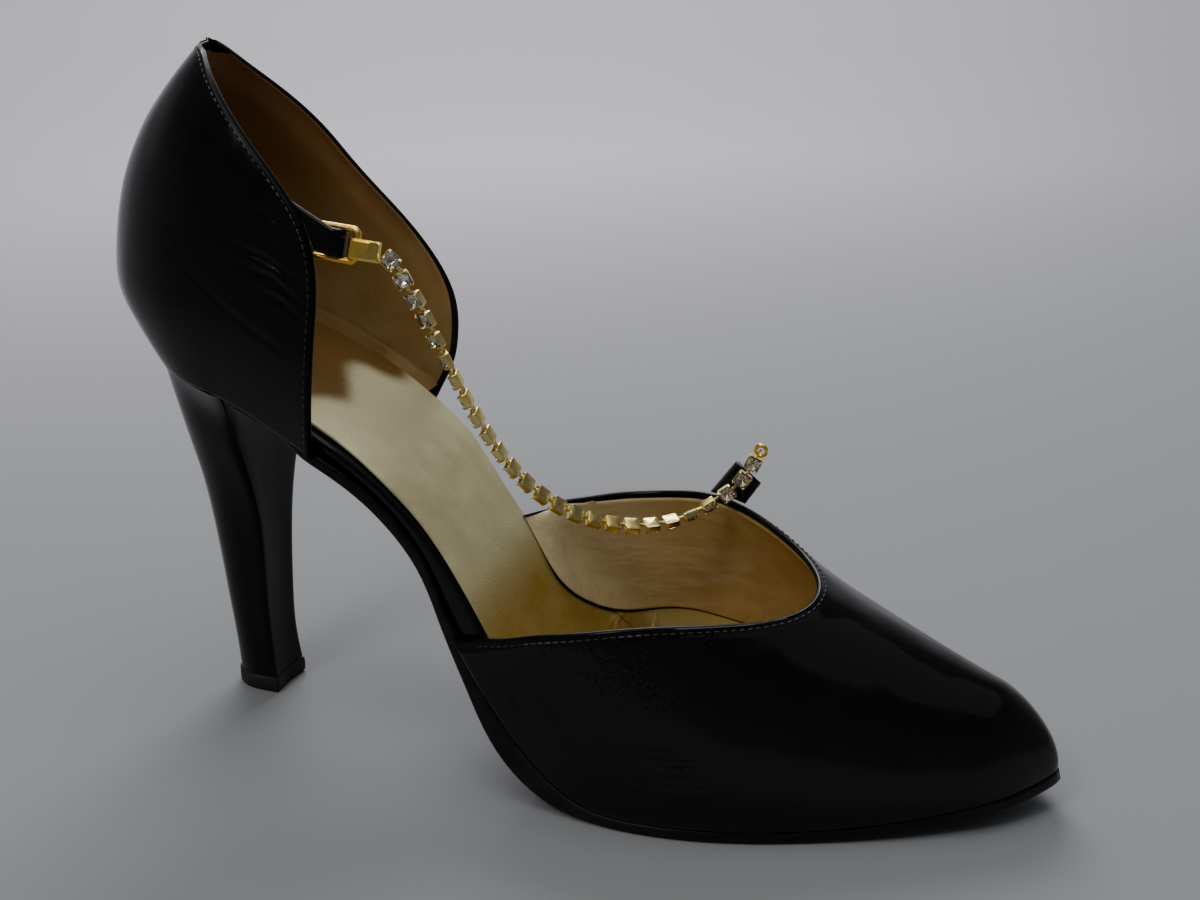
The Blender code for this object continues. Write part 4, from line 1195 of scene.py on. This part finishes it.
# %% Heel
knots = ring_sections[..., 2].mean(1)
fine = np.linspace(knots[0], knots[-1], 110)
flat_sections = ring_sections.reshape(len(knots), -1)
columns = [spline(knots, flat_sections[:, axis], fine) for axis in range(flat_sections.shape[1])]
heel_rows = capped(np.stack(columns, 1).reshape(len(fine), -1, 3))
heel_low = smooth(heel_rows[..., 2], 14, 4)
heel = add_grid("heel_cover", heel_rows[:, ::-1], heel_patent, closed_columns=True, sharp=50,
                creased=np.zeros(heel_rows.shape[:2]), dulled=heel_low[:, ::-1])
fit(heel, "patent_leather", "heel")

# %% Top piece
TIP = table("size level", (1, 0), (1.06, 0.5), (1.07, 2), (1.06, 3.4), (1, 3.8))

tip = ring_sections[0] * (1, 1, 0)
tip_middle = tip.mean(0)
tip_size, tip_level = (TIP[name][:, None, None] for name in ("size", "level"))
tip_rows = capped(tip_middle + (tip - tip_middle) * tip_size + (0, 0, 1) * tip_level)
top_piece = add_grid("heel_tip", tip_rows[:, ::-1], rubber, closed_columns=True, sharp=50)
fit(top_piece, "heel_rubber", "top_piece")

# %% [markdown]
# The fastening sits on the outer front of the quarter: a leather tab folded round the bar
# of a small wire buckle, and a folded brass clasp that takes the chain. Turning the objects
# would place them, but here every piece stays at the origin. So they are worked out flat, X
# along the strap, Y up and Z outward, and one turn of their points lays them on the shoe.

# %% Placing the fastening
FASTENING_PLACE = np.array([33.5, -20.0, 113.2])

tilt, slope = np.radians(75.0), np.radians(4.5)
TILT = np.array([[1, 0, 0], [0, np.cos(tilt), -np.sin(tilt)], [0, np.sin(tilt), np.cos(tilt)]])
SLOPE = np.array([[np.cos(slope), 0, np.sin(slope)], [0, 1, 0], [-np.sin(slope), 0, np.cos(slope)]])


def fastened(points):
    """Points of the flat fastening laid on the shoe: turned about X, then about Y, then moved."""
    return points @ (SLOPE @ TILT).T + FASTENING_PLACE


def strap(grid, wall):
    """A strip of leather or metal: each row goes over its outer face, an edge, its inner face, an edge."""
    normal = grid_normals(grid)
    inner = grid - normal * wall
    side = unit(np.gradient(grid, axis=1))
    half = 0.5 * wall
    edges = [grid[:, k] - normal[:, k] * half + side[:, k] * half * way for k, way in ((-1, 1), (0, -1))]
    return capped(np.concatenate([grid, edges[0][:, None], inner[:, ::-1], edges[1][:, None]], 1))


def stretch(line, count):
    """A short list of points, or of rows of points, filled out evenly."""
    line = np.asarray(line, float)
    flat = line.reshape(len(line), -1)
    at = np.linspace(0, len(line) - 1, count)
    filled = np.stack([np.interp(at, np.arange(len(line)), column) for column in flat.T], -1)
    return filled.reshape((count,) + line.shape[1:])


# %% Buckle
BUCKLE_MIDDLE, BUCKLE_WIDE, BUCKLE_HIGH, BUCKLE_BEND = (-2.6, -0.8), 9.6, 6.4, 1.2
BUCKLE_WIRE, BAR_RADIUS = 0.68, 0.5

turn = np.linspace(0, 2 * np.pi, 64, endpoint=False) + np.pi / 64
round_way = np.stack([np.cos(turn), np.sin(turn)], -1)
corner = np.sign(round_way) * (BUCKLE_WIDE / 2 - BUCKLE_BEND, BUCKLE_HIGH / 2 - BUCKLE_BEND)
loop = BUCKLE_MIDDLE + corner + BUCKLE_BEND * round_way
loop = even_line(np.pad(np.concatenate([loop, loop[:1]]), ((0, 0), (0, 1))), 121)[0][:-1]
heading = unit(np.roll(loop, -1, 0) - np.roll(loop, 1, 0))
beside = np.cross(heading, (0, 0, 1))
wire_turn = np.linspace(0, 2 * np.pi, 14, endpoint=False)[None, :, None]
wire_ring = beside[:, None] * np.cos(wire_turn) + np.array([0, 0, 1.0]) * np.sin(wire_turn)
frame_wire = loop[:, None] + BUCKLE_WIRE * wire_ring
bar_y = BUCKLE_MIDDLE[1] + np.linspace(-1, 1, 5) * BUCKLE_HIGH / 2
bar = np.stack([np.full(5, BUCKLE_MIDDLE[0]), bar_y, np.zeros(5)], -1)
bar_wire = tube_grid(bar, BAR_RADIUS, 12)
points, faces = join_grids((fastened(frame_wire), (True, True)), (fastened(bar_wire), ROUND))
buckle = add_mesh("wire_buckle", points, faces, gold)
fit(buckle, "gold_metal", "buckle")

# %% Tab round the buckle's bar
TAB_OUT, TAB_WALL, TAB_HALF = 2.25, 0.8, 2.45
TAB_BASE = [(-5.9, -2.6, TAB_OUT), (-8.4, 1.9, TAB_OUT), (-11.9, 5.6, TAB_OUT)]

tab_base = stretch(TAB_BASE, 13)
wrap = np.radians(np.linspace(90, -150, 26))
eye_y = BUCKLE_MIDDLE[1] + np.linspace(-TAB_HALF, TAB_HALF, 13)
eye = np.stack(np.broadcast_arrays(BUCKLE_MIDDLE[0] + TAB_OUT * np.cos(wrap)[:, None], eye_y[None, :],
                                   TAB_OUT * np.sin(wrap)[:, None]), -1)
tab_grid = np.concatenate([stretch([tab_base, eye[0]], 14)[:-1], eye])
tab_rows = strap(fastened(tab_grid), TAB_WALL)
tab = add_grid("buckle_strap", tab_rows, heel_patent, closed_columns=True, **plain_wear(tab_rows, 1.0))
fit(tab, "patent_leather", "buckle_tab")

# %% Clasp
CLASP_OUT, CLASP_LONG, CLASP_WALL = 1.65, 5.1, 0.5
CLASP_LEVEL, CLASP_HALF = -1.4, 1.8

front_bar = BUCKLE_MIDDLE[0] + BUCKLE_WIDE / 2
fold = np.radians(np.linspace(270, 90, 18))
legs = CLASP_LONG - (CLASP_LONG - 0.4) * np.linspace(0, 1, 8) ** 1.6
clasp_x = front_bar + np.concatenate([legs, CLASP_OUT * np.cos(fold), legs[::-1]])
pinch = 1 - 0.66 * smooth(legs, CLASP_LONG - 1.5, CLASP_LONG - 0.2)
clasp_z = CLASP_OUT * np.concatenate([-pinch, np.sin(fold), pinch[::-1]])
clasp_y = CLASP_LEVEL + np.linspace(-CLASP_HALF, CLASP_HALF, 9)
clasp_grid = np.stack(np.broadcast_arrays(clasp_x[:, None], clasp_y[None, :], clasp_z[:, None]), -1)
clasp = add_grid("fold_clasp", strap(fastened(clasp_grid), CLASP_WALL), gold, closed_columns=True, sharp=60)
fit(clasp, "gold_metal", "chain_clasp")

# %% [markdown]
# On the inner side the chain's last cups lie against a short leather tab that stands up from
# the vamp's top edge. Its foot is a stretch of that edge and its head a straight line, and the
# strip between them is filled out evenly, so it leans just as the two ends ask.

# %% Tab on the vamp
VAMP_TAB_FROM, VAMP_TAB_TO, VAMP_TAB_WALL = 132.4, 125.5, 1.3
VAMP_TAB_HEAD = [(101.3, 29.3, 58.6), (106.0, 29.3, 54.7)]

tab_angle = np.linspace(VAMP_TAB_FROM, VAMP_TAB_TO, 13)
tab_foot = vamp_surface(spline(VAMP_TOPLINE["angle"], VAMP_TOPLINE["x"], tab_angle), np.radians(tab_angle))
tab_head = stretch(VAMP_TAB_HEAD, 13)
tab_grid = stretch([tab_foot + 0.04 * (tab_head - tab_foot), tab_head], 14)
tab_rows = strap(tab_grid, VAMP_TAB_WALL)
vamp_tab = add_grid("vamp_strap_tab", tab_rows, patent, closed_columns=True, **plain_wear(tab_rows, 0.2))
fit(vamp_tab, "patent_leather", "vamp_tab")

# %% [markdown]
# A row of fine stitches holds each folded edge, in black waxed thread, with a painted glint here and there
# along the sides and none round the vamp's front. A bump could hint at them, but the light on the edge shows
# each thread. One stitch is a short thread that dips into the leather at both ends, worked out once and
# carried along the edge at even steps.

# %% Waxed thread and one stitch
STITCH_STEP, STITCH_HALF, STITCH_DIP = 1.7, 0.5, 0.22
THREAD_RADIUS, THREAD_LIFT = 0.17, 0.03

thread_black, tree, shader, where = new_finish("waxed_thread", Specular_IOR_Level=0.6)
# painted glints: patches of the thread are coloured lighter grey where the stored value allows
waxed = ramp(tree, noise(tree, where, 90.0, 3.0, 0.7), 0.42, 0.66)
lit = math_node(tree, "MULTIPLY", waxed, attribute(tree, "shiny"))
feed(tree, shader, Base_Color=mix(tree, lit, (0.004, 0.004, 0.004), (0.085, 0.09, 0.10)),
     Roughness=between(tree, lit, 0.5, 0.28))

thread_x = np.linspace(-STITCH_HALF, STITCH_HALF, 7)
thread_z = THREAD_LIFT - STITCH_DIP * (thread_x / STITCH_HALF) ** 4
thread = tube_grid(np.stack([thread_x, 0 * thread_x, thread_z], -1), THREAD_RADIUS, 6)
thread_faces = cell_corners(*thread.shape[:2], closed_columns=True)


# %% Stitches along both edges
def stitch_row(edge, normal, off):
    """Frames and places of stitches along an edge, a step in from it and on its outer face."""
    count = int(np.linalg.norm(np.diff(edge, axis=0), axis=1).sum() / STITCH_STEP)
    line, up, away = even_line(edge, count, normal, off)
    up, ahead = unit(up), unit(np.gradient(line, axis=0))
    frames = np.stack([ahead, np.cross(up, ahead), up], 1)
    return frames, line - unit(away) * STITCH_IN + up * THREAD_LIFT


rows = [stitch_row(vamp_edge, vamp_edge_out, vamp_edge_off), stitch_row(rim_line, rim_out, rim_off)]
frames, places = (np.concatenate(items) for items in zip(*rows))
clear = places[:, 2] - feather(places[:, 0]) > 2.0
frames, places = frames[clear], places[clear]
thread_size = thread[..., 0].size
# the thread's painted glint fades out round the vamp's front
stitches = add_mesh("edge_stitches", carry(thread.reshape(-1, 3), frames, places),
                    carry_faces(thread_faces, thread_size, len(places)), thread_black,
                    shiny=np.repeat(smooth(places[:, 0], 104, 97), thread_size))
fit(stitches, "patent_leather")

# %% [markdown]
# The studio is a shallow bowl of pale grey paper, flat under the shoe and rising far off on every side, so
# that any view has a plain background; a painted shade darkens it in front and a painted light makes it
# paler far back. A flat floor with a wall would do for one view only.

# %% Studio paper
FLAT_REACH, BOWL_REACH, BOWL_HEIGHT = 900, 1500, 1400

paper, tree, shader, where = new_finish("grey_paper", Roughness=0.9)
axes = add_node(tree, "SeparateXYZ", Vector=where).outputs
# Painted light and shade on the paper: paler far back, darker in front and towards the toe.
slant = math_node(tree, "SUBTRACT", axes["Y"], math_node(tree, "MULTIPLY", axes["X"], 1.3))
cloudy = math_node(tree, "ADD", slant, math_node(tree, "MULTIPLY", noise(tree, where, 3.0), 0.15))
far_back = ramp(tree, cloudy, 0.3, 1.3)
feed(tree, shader, Base_Color=mix(tree, far_back, (0.298, 0.308, 0.323), (0.43, 0.43, 0.46)))
reach = np.concatenate([np.linspace(0, FLAT_REACH, 10), np.linspace(950, BOWL_REACH, 12)])[:, None]
turn = np.linspace(0, 2 * np.pi, 96, endpoint=False)[None, :]
climb = BOWL_HEIGHT * np.clip((reach - FLAT_REACH) / (BOWL_REACH - FLAT_REACH), 0, 1) ** 2.2 + 0 * turn
bowl = np.stack([ORIGIN[0] + reach * np.cos(turn), ORIGIN[1] + reach * np.sin(turn), climb], -1)
floor = add_grid("studio_floor", bowl, paper, closed_columns=True)
print("paper bowl", BOWL_REACH, "mm each way")

# %% [markdown]
# One soft light hangs over the shoe, one lights the paper behind it and a small lamp stands
# in front, and the paper itself lights the leather. Polished black shows little but what it
# reflects, so where a light stands matters more here than how strong it is.

# %% Lights
def soft_light(name, at, aim, size, power, colour):
    """A square area light at a place in millimetres, turned to face its aim."""
    data = bpy.data.lights.new(name, "AREA")
    data.size, data.energy, data.color = size, power, colour
    light = bpy.data.objects.new(name, data)
    bpy.context.scene.collection.objects.link(light)
    away = unit(place(at) - place(aim))
    side = unit(np.cross((0.0, 1.0, 0.0) if abs(away[2]) > 0.9 else (0.0, 0.0, 1.0), away))
    matrix = np.eye(4)
    matrix[:3, :3] = np.stack([side, np.cross(away, side), away], 1)
    matrix[:3, 3] = place(at)
    light.matrix_world = Matrix(matrix.tolist())


soft_light("top_softbox", (60, -60, 800), (40, 0, 60), 0.7, 2.0, (1.0, 0.99, 0.96))
soft_light("back_softbox", (-300, 840, 860), (-320, 830, 0), 0.7, 11.5, (1.0, 0.98, 0.99))
soft_light("front_lamp", (-160, -640, 760), (60, 0, 70), 0.22, 1.6, (1.0, 0.97, 0.92))
world = bpy.data.worlds.new("studio_air")
bpy.context.scene.world = world
world.use_nodes = True
air = world.node_tree.nodes["Background"].inputs
air["Color"].default_value = (0.95, 0.97, 1.0, 1.0)
air["Strength"].default_value = 0.26
